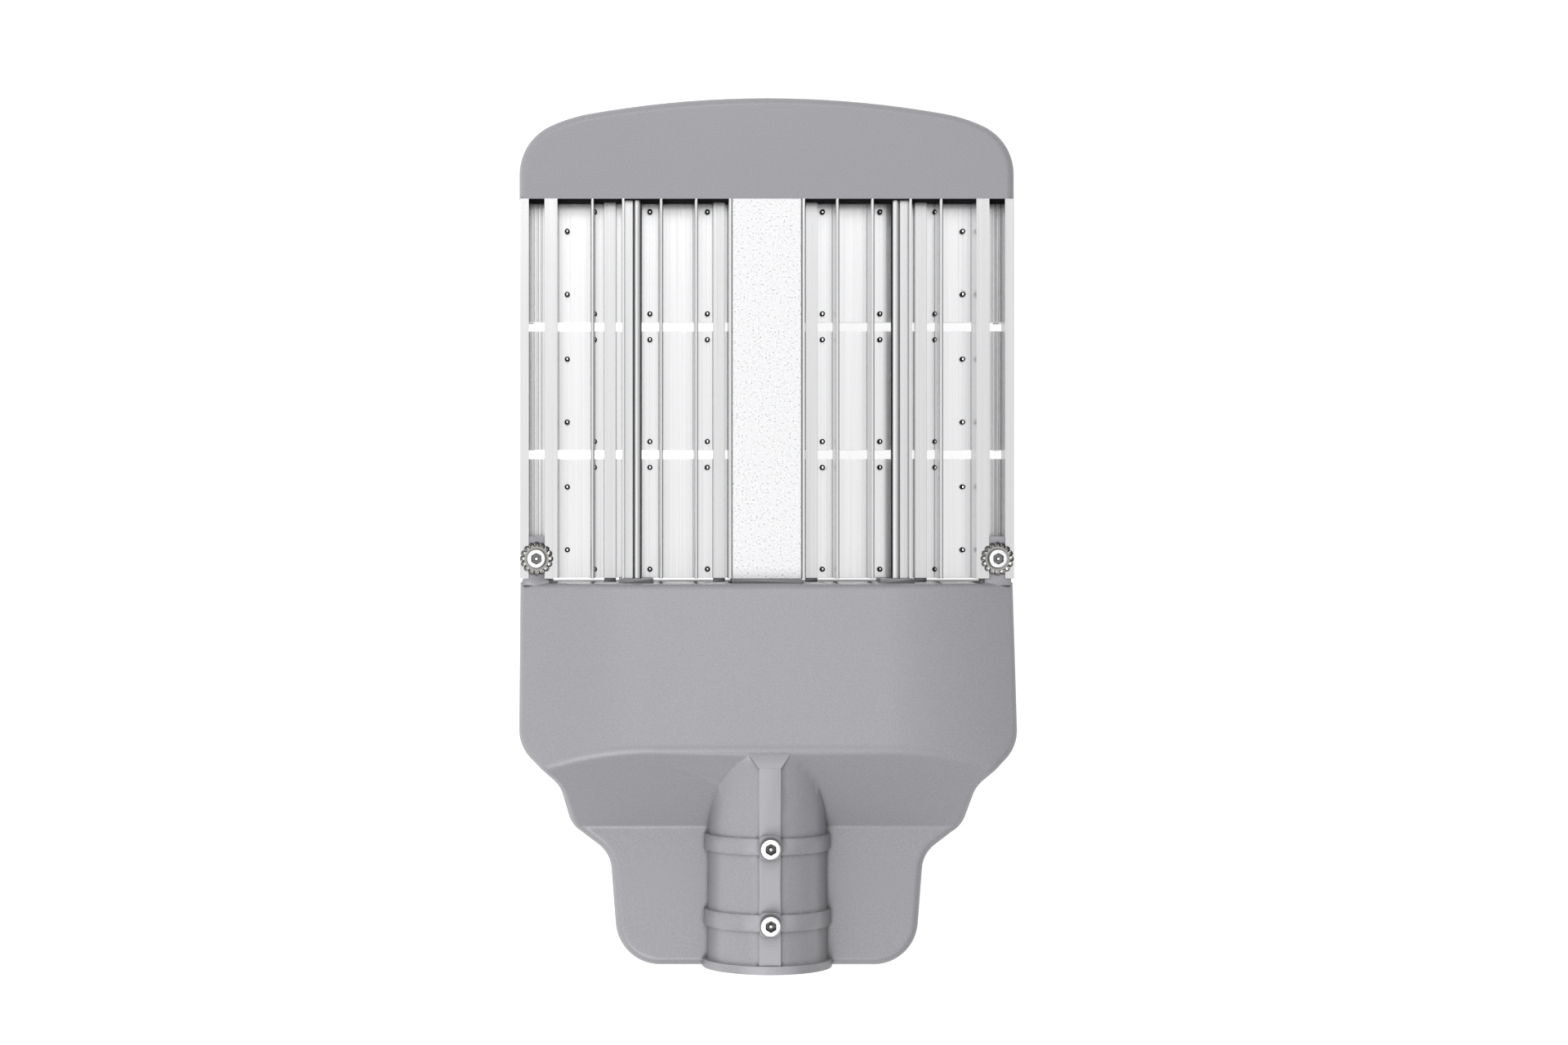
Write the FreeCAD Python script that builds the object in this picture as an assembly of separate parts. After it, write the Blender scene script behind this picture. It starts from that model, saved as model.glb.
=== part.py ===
"""LED street light head, in millimetres.

The origin is on the axis of the arm socket, at its mouth. +Y runs along the lamp towards the front cap,
+X across it and +Z up to the sky. Fin tops, centre strip and front cap are level with the socket's axis,
and the lamp faces the road with its open side at BOTTOM_Z.
"""

import FreeCAD, Part
import math
import os

from FreeCAD import Vector

os.makedirs("parts", exist_ok=True)

# Levels
TOP_Z = 0.0
BOTTOM_Z = -46.0

# Fits
SEAT_GAP = 0.05
SIDE_GAP = 0.2
THREAD_GAP = 0.05
HOLE_GAP = 0.25

# Sides of the prisms that stand for small or hidden round things
SCREW_SIDES = 6
HOLE_SIDES = 8
HEAD_SIDES = 20

# Extruded heatsinks, one each side of the wireway
SINK_REAR_Y = 235.1
SINK_LENGTH = 231.1
SINK_HALF_WIDTH = 150.2
BASE_DEPTH = 28.0
BASE_THICKNESS = 5.0
FLANGE_THICKNESS = 2.5
RIM_OVERHANG = 1.7
RIM_WALL = 2.5
RIM_FLANGE = 5.4
SLOT_OPENING = 9.5
INNER_FLANGE = 7.9
INNER_WEB = 2.5
FOOT_WIDTH = 7.2
FIN_WIDTH = 2.0
FIN_X = (42.95, 64.3, 106.1)
FIRST_FIN_X = 22.35
FIRST_FIN_WIDTH = 1.5
PORT_X = (28.45, 95.6)
PORT_RIB_WIDTH = 7.2
PORT_RIB_HEIGHT = 8.0
PORT_RADIUS = 2.1
TALL_WALL_X = 87.4
TALL_WALL_WIDTH = 1.4
SHELF_DROP = 8.0
SHELF_WIDTH = 5.0
SHELF_THICKNESS = 2.2
TUBE_RADIUS = 2.9
TUBE_BORE = 1.6
FLOOR_RIBS = 7
FLOOR_RIB_HEIGHT = 0.4
FLOOR_RIB_WIDTH = 0.7
SAW_SLOT = 5.55
SECTIONS = 3

# Wireway between the heatsinks
WIREWAY_WALL = 2.2
WIREWAY_FLOOR = 2.5
COVER_THICKNESS = 2.5
COVER_EDGE = 0.8
COVER_LIP = 2.0
COVER_LIP_DEPTH = 8.0
LEAD_HOLE_RADIUS = 3.5
LEAD_HOLE_Z = -39.0

# LED modules under the base
MODULE_INNER_X = 30.0
MODULE_OUTER_X = 127.0
MODULE_END_GAP = 1.65
MODULE_CHAMFER_X = 16.5
MODULE_CHAMFER_Y = 11.0
MODULE_CORNER = 3.0
SCREW_LINE_INSET = 5.2
SIDE_SCREW_X = (35.5, 71.0, 105.2)
END_SCREW_X = 122.0
END_SCREW_INSET = 17.2
POCKET_INSET = 7.3
POCKET_DEPTH = 1.8
GASKET_WIDTH = 3.0
BOARD_THICKNESS = 1.6
LENS_THICKNESS = 4.6
DOME_ROWS = 3
DOME_COLUMNS = 4
DOME_LENGTH = 14.0
DOME_WIDTH = 11.0
DOME_HEIGHT = 5.0
DOME_TAPER = 0.55
M3_RADIUS = 1.5
M3_HEAD_FLATS = 5.5
M3_HEAD_HEIGHT = 2.0
M3_TIP_ABOVE_BASE = 4.5

# Front cap
CAP_LENGTH = 61.8
CAP_OVERHANG = 0.5
CAP_BOWS = ((4.127, 10.0), (0.637, 25.0))
CAP_EDGE = 5.0
CAST_WALL = 3.0
CAP_RIB = 2.4
CAP_RIB_HEIGHT = 12.0
CAP_RIB_X = (0.0, 62.0)

# Rear housing
HOUSING_FRONT_Y = 232.0
HOUSING_OVERHANG = 0.0
FRONT_DRAFT = 1.6
FRONT_EDGE_Z = 12.5
CREST_Y = 133.0
CREST_Z = 35.0
SLOPE_FOOT_Y = 84.4
SLOPE_FOOT_Z = 1.0
REAR_EDGE_Z = 2.0
CREST_RADIUS = 9.0
FOOT_RADIUS = 5.0
CROWN_FLAT = 70.0
CROWN_RADIUS = 215.0
CROWN_MARGIN = 10.0
EDGE_FILLET = 5.0
SHOULDERS = ((0.0, 134.0, 24.0), (24.7, 110.5, 20.0), (31.2, 85.5, 18.0), (54.9, 67.5, 20.0), (60.1, 0.0, 27.0))
MIDDLE_PAD = 21.4
PORT_PAD = (69.0, 90.0)
OUTER_PAD = (1.7, 17.7)

# Arm socket
BORE_RADIUS = 30.3
BORE_LENGTH = 110.0
SOCKET_FRONT_RADIUS = 35.6
SOCKET_MOUTH_RADIUS = 36.7
NOSE_Y = 131.5
NOSE_Z = 33.2
NOSE_TOP_Y = 122.0
NOSE_REACH = 60.0
BULKHEAD = 4.0
RIB_WIDTH = 13.0
RIB_TOP_Z = 38.0
BAND_RISE = 2.2
BANDS = ((25.5, 35.3), (71.1, 80.7))
COLLAR_LENGTH = 5.0
COLLAR_RADIUS = 39.5
BOLT_Y = (30.0, 75.6)
BOLT_PAD = (12.6, 14.4)
BOLT_PAD_CORNER = 3.2
BOLT_PAD_Z = 41.0
M8_RADIUS = 4.0
M8_HEAD_RADIUS = 6.0
M8_HEAD_HEIGHT = 8.0
M8_KEY = 6.0
M8_TIP_Z = 30.8

# Tongues of the housing in the T-slots
TONGUE_LENGTH = 28.7
TONGUE_WIDTH = 9.0
TONGUE_DEPTH = 8.0
TONGUE_DROP = 0.3
SIDE_BOLT_Y = 247.2
SIDE_BOLT_RADIUS = 3.0
SIDE_HEAD_RADIUS = 5.6
SIDE_HEAD_HEIGHT = 5.0
SIDE_KEY = 6.0
SIDE_BOLT_LENGTH = 11.0
WASHER_RADIUS = 10.0
WASHER_ROOT = 7.6
WASHER_BORE = 3.3
WASHER_THICKNESS = 1.0
WASHER_TEETH = 16

# Cover under the housing
LEDGE_INSET = 12.0
LEDGE_THICKNESS = 3.0
GASKET_THICKNESS = 1.5
DRIVER_COVER_THICKNESS = 2.5
COVER_RECESS = 2.4
DRIVER_COVER_GAP = 0.6
COVER_SCREW_INSETS = ((9.7, 221.0), (9.7, 152.0), (71.7, 14.0))
COVER_BOSS_RADIUS = 4.6
COVER_BOSS_HEIGHT = 7.0
M4_RADIUS = 2.0
M4_HEAD_RADIUS = 4.0
M4_HEAD_HEIGHT = 2.2
M4_LENGTH = 11.0

# End screws of cap and housing in the screw ports
END_SCREW_HEAD_RADIUS = 4.2
END_SCREW_HEAD_HEIGHT = 3.4
END_SCREW_GRIP = 16.0

# Gear inside the housing
TRAY_INSET = 24.7
TRAY_REAR_Y = 130.0
TRAY_FRONT_Y = 217.0
TRAY_THICKNESS = 1.5
TRAY_TOP_Z = -33.0
TRAY_POST_INSET = 8.0
TRAY_POST_RADIUS = 5.0
DRIVER_SIZE = (150.0, 62.0, 32.0)
DRIVER_FRONT_MARGIN = 2.0
DRIVER_INSET = 21.0
DRIVER_EDGE = 3.0
TERMINAL_SIZE = (42.0, 17.0, 15.0)
TERMINAL_INSET = 4.0
TERMINAL_Y = 157.0
SURGE_SIZE = (28.0, 44.0, 20.0)
SURGE_INSET = 17.0
SURGE_Y = 192.0
GLAND_Z = -24.0
GLAND_RADIUS = 8.0
GLAND_BORE = 4.0
GLAND_FLATS = 19.0
GLAND_HEAD = 6.0
GLAND_NUT = 4.0
GROMMET_RADIUS = 10.0
GROMMET_FLANGE = 13.0
GROMMET_BORE = 4.5
GROMMET_FLANGE_LENGTH = 2.5

# Worked out from the sizes above
BASE_TOP_Z = TOP_Z - BASE_DEPTH
BASE_BOTTOM_Z = BASE_TOP_Z - BASE_THICKNESS
SINK_FRONT_Y = SINK_REAR_Y + SINK_LENGTH
SECTION_LENGTH = (SINK_LENGTH - (SECTIONS - 1) * SAW_SLOT) / SECTIONS
MODULE_HALF_LENGTH = SECTION_LENGTH / 2 - MODULE_END_GAP
RIM_OUTER_X = SINK_HALF_WIDTH - RIM_OVERHANG
RIM_INNER_X = RIM_OUTER_X - RIM_WALL
SLOT_OUTER_X = SINK_HALF_WIDTH - RIM_FLANGE
SLOT_INNER_X = SLOT_OUTER_X - SLOT_OPENING
SLOT_CENTRE_X = (SLOT_OUTER_X + SLOT_INNER_X) / 2
WEB_X = SLOT_INNER_X - INNER_FLANGE
SINK_INNER_X = FIRST_FIN_X - FIRST_FIN_WIDTH / 2
WIREWAY_HALF_WIDTH = SINK_INNER_X - SIDE_GAP
PORT_Z = BASE_TOP_Z + PORT_RIB_HEIGHT / 2
LENS_BOTTOM_Z = BASE_BOTTOM_Z - LENS_THICKNESS
LEDGE_BOTTOM_Z = BOTTOM_Z + COVER_RECESS + DRIVER_COVER_THICKNESS + GASKET_THICKNESS
LEDGE_TOP_Z = LEDGE_BOTTOM_Z + LEDGE_THICKNESS
BULKHEAD_Y = BORE_LENGTH
CAP_HALF_WIDTH = SINK_HALF_WIDTH + CAP_OVERHANG
CAP_FRONT_Y = SINK_FRONT_Y + CAP_LENGTH
HOUSING_HALF_WIDTH = SINK_HALF_WIDTH + HOUSING_OVERHANG
OUTLINE = [(HOUSING_HALF_WIDTH - inset, y, radius) for inset, y, radius in SHOULDERS]
PADS = ((0.0, MIDDLE_PAD), PORT_PAD, (SINK_HALF_WIDTH - OUTER_PAD[1], SINK_HALF_WIDTH - OUTER_PAD[0]))
COVER_SCREWS = [(HOUSING_HALF_WIDTH - inset, y) for inset, y in COVER_SCREW_INSETS]
TRAY_HALF_WIDTH = HOUSING_HALF_WIDTH - TRAY_INSET
TRAY_POST_X = TRAY_HALF_WIDTH - TRAY_POST_INSET


def box(x, y, z):
    """A block from three pairs of limits."""
    return Part.makeBox(x[1] - x[0], y[1] - y[0], z[1] - z[0], Vector(x[0], y[0], z[0]))


def face_of(points, plane):
    """A flat polygon from pairs of numbers, placed by the function plane."""
    corners = [plane(a, b) for a, b in points]
    return Part.Face(Part.makePolygon(corners + corners[:1]))


def regular(radius, sides, turn=0.0):
    """The corners of a regular polygon about the origin."""
    return [(radius * math.cos(turn + 2 * math.pi * k / sides), radius * math.sin(turn + 2 * math.pi * k / sides))
            for k in range(sides)]


def upright(x, y, radius, low, high, sides=0):
    """A vertical cylinder, or a prism with so many sides."""
    if sides:
        corners = face_of(regular(radius, sides), lambda a, b: Vector(x + a, y + b, low))
        return corners.extrude(Vector(0, 0, high - low))
    return Part.makeCylinder(radius, high - low, Vector(x, y, low))


def lengthwise(x, z, radius, rear, front, sides=0):
    """A cylinder along Y, or a prism with so many sides."""
    if sides:
        corners = face_of(regular(radius, sides), lambda a, b: Vector(x + a, rear, z + b))
        return corners.extrude(Vector(0, front - rear, 0))
    return Part.makeCylinder(radius, front - rear, Vector(x, rear, z), Vector(0, 1, 0))


def fused(shapes):
    """One solid from shapes that meet, with faces in one plane merged."""
    return shapes[0].multiFuse(shapes[1:]).removeSplitter()


def mirrored(shape):
    """The same shape on the other side of the lamp."""
    return shape.mirror(Vector(0, 0, 0), Vector(1, 0, 0))


def section_centres():
    """The middle of each heatsink section along Y, from the rear."""
    pitch = SECTION_LENGTH + SAW_SLOT
    return [SINK_REAR_Y + SECTION_LENGTH / 2 + k * pitch for k in range(SECTIONS)]


def module_screw_places():
    """Where the module screws of the right-hand side stand."""
    places = []
    for middle in section_centres():
        side = SECTION_LENGTH / 2 - SCREW_LINE_INSET
        end = SECTION_LENGTH / 2 - END_SCREW_INSET
        for sign in (-1, 1):
            places += [(x, middle + sign * side) for x in SIDE_SCREW_X]
            places.append((END_SCREW_X, middle + sign * end))
    return places


def across(a, b):
    """A point of the cross-section plane at the rear end of the heatsinks."""
    return Vector(a, SINK_REAR_Y, b)


def strip(x, z):
    """A rectangle of the cross-section."""
    return face_of([(x[0], z[0]), (x[1], z[0]), (x[1], z[1]), (x[0], z[1])], across)


def fin(middle, width):
    """A fin of the cross-section, a little thicker at its root, with its tip rounded by two facets."""
    half = width / 2
    root = half * 1.25
    return face_of([(middle - root, BASE_TOP_Z), (middle + root, BASE_TOP_Z), (middle + half, TOP_Z - half / 2),
                    (middle + half / 2, TOP_Z), (middle - half / 2, TOP_Z), (middle - half, TOP_Z - half / 2)],
                   across)


def sink_section():
    """Half of the extrusion's cross-section, for X above zero."""
    parts = [strip((SINK_INNER_X, RIM_OUTER_X), (BASE_BOTTOM_Z, BASE_TOP_Z)),
             strip((SINK_INNER_X, SINK_INNER_X + FIRST_FIN_WIDTH), (BASE_BOTTOM_Z, TOP_Z)),
             strip((RIM_INNER_X, RIM_OUTER_X), (BOTTOM_Z, TOP_Z)),
             strip((SLOT_OUTER_X, SINK_HALF_WIDTH), (TOP_Z - FLANGE_THICKNESS, TOP_Z)),
             strip((SINK_HALF_WIDTH - FOOT_WIDTH, SINK_HALF_WIDTH), (BOTTOM_Z, BOTTOM_Z + FLANGE_THICKNESS)),
             strip((WEB_X, WEB_X + INNER_WEB), (BASE_BOTTOM_Z, TOP_Z)),
             strip((WEB_X, SLOT_INNER_X), (TOP_Z - FLANGE_THICKNESS, TOP_Z)),
             strip((TALL_WALL_X - TALL_WALL_WIDTH / 2, TALL_WALL_X + TALL_WALL_WIDTH / 2), (BASE_BOTTOM_Z, TOP_Z))]
    parts += [fin(x, FIN_WIDTH) for x in FIN_X]
    parts += [strip((x - PORT_RIB_WIDTH / 2, x + PORT_RIB_WIDTH / 2), (BASE_BOTTOM_Z, BASE_TOP_Z + PORT_RIB_HEIGHT))
              for x in PORT_X]
    shelf_end = TALL_WALL_X - TALL_WALL_WIDTH / 2
    tube_x = shelf_end - SHELF_WIDTH - TUBE_RADIUS * 0.95
    tube_z = TOP_Z - SHELF_DROP - SHELF_THICKNESS / 2
    parts.append(strip((tube_x + TUBE_BORE + 0.2, shelf_end),
                       (TOP_Z - SHELF_DROP - SHELF_THICKNESS, TOP_Z - SHELF_DROP)))
    ring = Part.Circle(Vector(tube_x, SINK_REAR_Y, tube_z), Vector(0, -1, 0), TUBE_RADIUS)
    parts.append(Part.Face(Part.Wire(ring.toShape())))
    left = WEB_X + INNER_WEB
    pitch = (RIM_INNER_X - left) / FLOOR_RIBS
    for k in range(FLOOR_RIBS):
        middle = left + (k + 0.5) * pitch
        parts.append(strip((middle - FLOOR_RIB_WIDTH / 2, middle + FLOOR_RIB_WIDTH / 2),
                           (BASE_TOP_Z, BASE_TOP_Z + FLOOR_RIB_HEIGHT)))
    section = parts[0].multiFuse(parts[1:]).removeSplitter()
    bores = [(tube_x, tube_z, TUBE_BORE)] + [(x, PORT_Z, PORT_RADIUS) for x in PORT_X]
    for x, z, radius in bores:
        hole = [(x + a, z + b) for a, b in regular(radius, HOLE_SIDES)]
        section = section.cut(face_of(hole, across))
    return section


def heatsink():
    """The right-hand extrusion, sawn through its base twice and drilled for the module screws."""
    body = sink_section().extrude(Vector(0, SINK_LENGTH, 0)).Solids[0]
    cuts = []
    for k in range(1, SECTIONS):
        rear = SINK_REAR_Y + k * SECTION_LENGTH + (k - 1) * SAW_SLOT
        cuts.append(box((SINK_INNER_X + FIRST_FIN_WIDTH, SINK_HALF_WIDTH + 1), (rear, rear + SAW_SLOT),
                        (BOTTOM_Z - 1, BASE_TOP_Z + FLOOR_RIB_HEIGHT)))
    for x, y in module_screw_places():
        cuts.append(upright(x, y, M3_RADIUS + THREAD_GAP, BASE_BOTTOM_Z - 1,
                            BASE_TOP_Z + M3_TIP_ABOVE_BASE + THREAD_GAP, SCREW_SIDES))
    return body.cut(Part.makeCompound(cuts)).Solids[0]


def wireway():
    """The channel between the two heatsinks, with a hole in its wall for each module's lead."""
    outer = WIREWAY_HALF_WIDTH
    inner = outer - WIREWAY_WALL
    body = box((-outer, outer), (SINK_REAR_Y, SINK_FRONT_Y), (BOTTOM_Z, TOP_Z - COVER_THICKNESS))
    body = body.cut(box((-inner, inner), (SINK_REAR_Y - 1, SINK_FRONT_Y + 1), (BOTTOM_Z + WIREWAY_FLOOR, TOP_Z)))
    ends = [regular(LEAD_HOLE_RADIUS, HOLE_SIDES), Vector(2 * outer + 2, 0, 0)]
    holes = [face_of(ends[0], lambda a, b: Vector(-outer - 1, y + a, LEAD_HOLE_Z + b)).extrude(ends[1])
             for y in section_centres()]
    return body.cut(Part.makeCompound(holes))


def wireway_cover():
    """The centre strip, with bevelled edges and two lips that grip the channel's walls."""
    half = WIREWAY_HALF_WIDTH
    lip = half - WIREWAY_WALL - SEAT_GAP
    low = TOP_Z - COVER_THICKNESS
    outline = [(-half, low + SEAT_GAP), (half, low + SEAT_GAP), (half, TOP_Z - COVER_EDGE),
               (half - COVER_EDGE, TOP_Z), (COVER_EDGE - half, TOP_Z), (-half, TOP_Z - COVER_EDGE)]
    length = Vector(0, SINK_LENGTH, 0)
    plate = face_of(outline, across).extrude(length)
    lips = [strip(sorted((s * lip, s * (lip - COVER_LIP))), (low - COVER_LIP_DEPTH, low + SEAT_GAP)).extrude(length)
            for s in (-1, 1)]
    return fused([plate] + lips)


def module_face(middle, inset, level):
    """The outline of a right-hand LED module, drawn in by inset, as a face at a level."""
    low, high, half = MODULE_INNER_X, MODULE_OUTER_X, MODULE_HALF_LENGTH
    points = [(low, -half), (high - MODULE_CHAMFER_X, -half), (high, MODULE_CHAMFER_Y - half),
              (high, half - MODULE_CHAMFER_Y), (high - MODULE_CHAMFER_X, half), (low, half)]
    outline = face_of(points, lambda a, b: Vector(a, middle + b, level))
    return outline.makeOffset2D(-inset) if inset else outline


def module_prism(middle, inset, low, high):
    """The module's outline drawn in by inset, from one level up to another."""
    return module_face(middle, inset, low).extrude(Vector(0, 0, high - low))


def led_board(middle):
    """A module's circuit board, flat against the base."""
    inset = POCKET_INSET + GASKET_WIDTH + SIDE_GAP
    return module_prism(middle, inset, BASE_BOTTOM_Z - BOARD_THICKNESS, BASE_BOTTOM_Z)


def lens_gasket(middle):
    """The seal round a module's board."""
    low = BASE_BOTTOM_Z - POCKET_DEPTH
    ring = module_prism(middle, POCKET_INSET + SEAT_GAP, low, BASE_BOTTOM_Z)
    return ring.cut(module_prism(middle, POCKET_INSET + GASKET_WIDTH, low - 1, BASE_BOTTOM_Z + 1))


def dome(x, y):
    """One oblong lens, a tapered block with its corners cut."""
    def ring(scale, level):
        half_x, half_y = scale * DOME_LENGTH / 2, scale * DOME_WIDTH / 2
        points = [(half_x, -half_y / 3), (half_x, half_y / 3), (half_x / 3, half_y), (-half_x / 3, half_y),
                  (-half_x, half_y / 3), (-half_x, -half_y / 3), (-half_x / 3, -half_y), (half_x / 3, -half_y)]
        return [Vector(x + a, y + b, level) for a, b in points]
    upper, lower = ring(1.0, LENS_BOTTOM_Z), ring(DOME_TAPER, LENS_BOTTOM_Z - DOME_HEIGHT)
    outlines = [upper, lower]
    for k in range(len(upper)):
        after = (k + 1) % len(upper)
        outlines.append([upper[k], upper[after], lower[after], lower[k]])
    faces = [Part.Face(Part.makePolygon(points + points[:1])) for points in outlines]
    return Part.Solid(Part.Shell(faces))


def lens_plate(middle):
    """A module's clear lens plate, with a pocket for board and gasket and a lens under each LED."""
    body = module_prism(middle, 0, LENS_BOTTOM_Z, BASE_BOTTOM_Z)
    upright_edges = [e for e in body.Edges if abs(e.Vertexes[0].X - e.Vertexes[-1].X) < 1e-6
                     and abs(e.Vertexes[0].Y - e.Vertexes[-1].Y) < 1e-6 and e.Vertexes[0].X < MODULE_INNER_X + 1]
    body = body.makeFillet(MODULE_CORNER, upright_edges)
    body = body.cut(module_prism(middle, POCKET_INSET, BASE_BOTTOM_Z - POCKET_DEPTH, BASE_BOTTOM_Z + 1))
    inset = POCKET_INSET + GASKET_WIDTH
    width = MODULE_OUTER_X - MODULE_INNER_X - 2 * inset
    depth = 2 * (MODULE_HALF_LENGTH - inset)
    domes = [dome(MODULE_INNER_X + inset + (i + 0.5) * width / DOME_COLUMNS,
                  middle - depth / 2 + (j + 0.5) * depth / DOME_ROWS)
             for i in range(DOME_COLUMNS) for j in range(DOME_ROWS)]
    body = fused([body] + domes)
    reach = MODULE_HALF_LENGTH + 1
    holes = [upright(x, y, M3_RADIUS + HOLE_GAP, LENS_BOTTOM_Z - 1, BASE_BOTTOM_Z + 1, SCREW_SIDES)
             for x, y in module_screw_places() if abs(y - middle) < reach]
    return body.cut(Part.makeCompound(holes))


def module_screws():
    """All M3 screws of the modules, head down, with their tips above the base."""
    screws = []
    for x, y in module_screw_places():
        head = upright(x, y, M3_HEAD_FLATS / math.sqrt(3), LENS_BOTTOM_Z - M3_HEAD_HEIGHT, LENS_BOTTOM_Z,
                       SCREW_SIDES)
        shank = upright(x, y, M3_RADIUS, LENS_BOTTOM_Z, BASE_TOP_Z + M3_TIP_ABOVE_BASE, SCREW_SIDES)
        screw = head.fuse(shank)
        screws += [screw, mirrored(screw)]
    return Part.makeCompound(screws)


def cap_block(inset, low, high):
    """The cap's plan form drawn in by inset, between two levels.

    The bowed front runs on in tangent arcs, CAP_BOWS as radius in half widths of the cap and angle at the end
    of each, and one more arc closes on the straight side.
    """
    half = CAP_HALF_WIDTH - inset
    x, y, turn = 0.0, CAP_FRONT_Y - inset, 0.0
    right = []
    for share, degrees in CAP_BOWS + ((None, 90.0),):
        end = math.radians(degrees)
        radius = share * CAP_HALF_WIDTH - inset if share else (half - x) / (1 - math.sin(turn))
        middle_x, middle_y = x - radius * math.sin(turn), y - radius * math.cos(turn)
        start, centre, last = [Vector(middle_x + radius * math.sin(a), middle_y + radius * math.cos(a), low)
                               for a in (turn, (turn + end) / 2, end)]
        if turn == 0.0:
            edges = [Part.Arc(Vector(-last.x, last.y, low), start, last).toShape()]
        else:
            right.append(Part.Arc(start, centre, last).toShape())
        x, y, turn = last.x, last.y, end
    right.append(Part.makeLine(last, Vector(half, SINK_FRONT_Y, low)))
    edges += right + [mirrored(edge) for edge in right]
    edges.append(Part.makeLine(Vector(half, SINK_FRONT_Y, low), Vector(-half, SINK_FRONT_Y, low)))
    return Part.Face(Part.Wire(Part.__sortEdges__(edges))).extrude(Vector(0, 0, high - low))


def end_screw_places():
    """The screw ports of both heatsinks, as X and Z."""
    return [(s * x, PORT_Z) for x in PORT_X for s in (-1, 1)]


def front_cap():
    """Cast cap: a shell open towards the road, with ribs and four screw holes in its rear wall."""
    body = cap_block(0, BOTTOM_Z, TOP_Z)
    rim = [e for e in body.Edges if min(v.Z for v in e.Vertexes) > TOP_Z - 1e-6
           and max(v.Y for v in e.Vertexes) > SINK_FRONT_Y + 1]
    body = body.makeFillet(CAP_EDGE, rim)
    wall_front = SINK_FRONT_Y + CAST_WALL
    hollow = cap_block(CAST_WALL, BOTTOM_Z - 1, TOP_Z - CAST_WALL)
    behind = box((-CAP_HALF_WIDTH, CAP_HALF_WIDTH), (SINK_FRONT_Y - 1, wall_front), (BOTTOM_Z - 2, TOP_Z))
    body = body.cut(hollow.cut(behind))
    front = CAP_FRONT_Y - CAST_WALL
    ribs = []
    for x in sorted({s * x for x in CAP_RIB_X for s in (-1, 1)}):
        ribs.append(box((x - CAP_RIB / 2, x + CAP_RIB / 2), (wall_front - 1, front),
                        (TOP_Z - CAST_WALL - CAP_RIB_HEIGHT, TOP_Z - CAST_WALL + 0.5)))
    whole = cap_block(CAST_WALL / 2, BOTTOM_Z, TOP_Z - CAST_WALL / 2)
    body = fused([body] + [rib.common(whole) for rib in ribs])
    holes = [lengthwise(x, z, PORT_RADIUS + HOLE_GAP, SINK_FRONT_Y - 1, wall_front + 1, HOLE_SIDES)
             for x, z in end_screw_places()]
    return body.cut(Part.makeCompound(holes))


def end_screw(x, z, seat, direction):
    """A hexagon head screw along Y with its head on a seat, pointing in a direction."""
    tip = seat + direction * (CAST_WALL + END_SCREW_GRIP)
    shank = lengthwise(x, z, PORT_RADIUS - 4 * THREAD_GAP, min(seat, tip), max(seat, tip), HOLE_SIDES)
    back = seat - direction * END_SCREW_HEAD_HEIGHT
    head = lengthwise(x, z, END_SCREW_HEAD_RADIUS, min(seat, back), max(seat, back), SCREW_SIDES)
    return head.fuse(shank)


def corner_outline(inset):
    """Corners of the housing's right-hand outline with their radii, each side moved in by inset."""
    corners = [(HOUSING_HALF_WIDTH, SINK_FRONT_Y, 0.0)] + OUTLINE + [(-HOUSING_HALF_WIDTH, 0.0, 0.0)]
    lines = []
    for (x0, y0, _), (x1, y1, _) in zip(corners, corners[1:]):
        length = math.hypot(x1 - x0, y1 - y0)
        nx, ny = (y1 - y0) / length, -(x1 - x0) / length
        lines.append((nx, ny, nx * x0 + ny * y0 + inset))
    result = []
    for (a0, b0, c0), (a1, b1, c1), (_, _, radius) in zip(lines, lines[1:], corners[1:]):
        det = a0 * b1 - a1 * b0
        convex = det < 0
        result.append(((c0 * b1 - c1 * b0) / det, (a0 * c1 - a1 * c0) / det,
                       radius - inset if convex else radius + inset))
    return result


def housing_wire(inset, level, front):
    """The housing's rounded outline as a closed wire at a level, both sides, from the rear edge to front."""
    corners = corner_outline(inset)
    right = []
    previous = (HOUSING_HALF_WIDTH - inset, front)
    points = [previous] + [(x, y) for x, y, _ in corners] + [(0.0, inset)]
    start = Vector(previous[0], previous[1], level)
    for k, (x, y, radius) in enumerate(corners, start=1):
        ax, ay = points[k - 1][0] - x, points[k - 1][1] - y
        bx, by = points[k + 1][0] - x, points[k + 1][1] - y
        la, lb = math.hypot(ax, ay), math.hypot(bx, by)
        ax, ay, bx, by = ax / la, ay / la, bx / lb, by / lb
        half = math.acos(max(-1.0, min(1.0, ax * bx + ay * by))) / 2
        reach = radius / math.tan(half)
        first = Vector(x + ax * reach, y + ay * reach, level)
        last = Vector(x + bx * reach, y + by * reach, level)
        mx, my = ax + bx, ay + by
        lm = math.hypot(mx, my)
        out = radius / math.sin(half)
        middle = Vector(x + mx / lm * (out - radius), y + my / lm * (out - radius), level)
        right.append(Part.makeLine(start, first))
        right.append(Part.Arc(first, middle, last).toShape())
        start = last
    right.append(Part.makeLine(start, Vector(0, inset, level)))
    left = [mirrored(edge) for edge in right]
    closing = Part.makeLine(Vector(previous[0], front, level), Vector(-previous[0], front, level))
    edges = [closing] + left + list(reversed(right))
    return Part.Wire(Part.__sortEdges__(edges))


def housing_plan(inset, low, high, front):
    """A prism of the housing's outline."""
    return Part.Face(housing_wire(inset, low, front)).extrude(Vector(0, 0, high - low))


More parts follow.
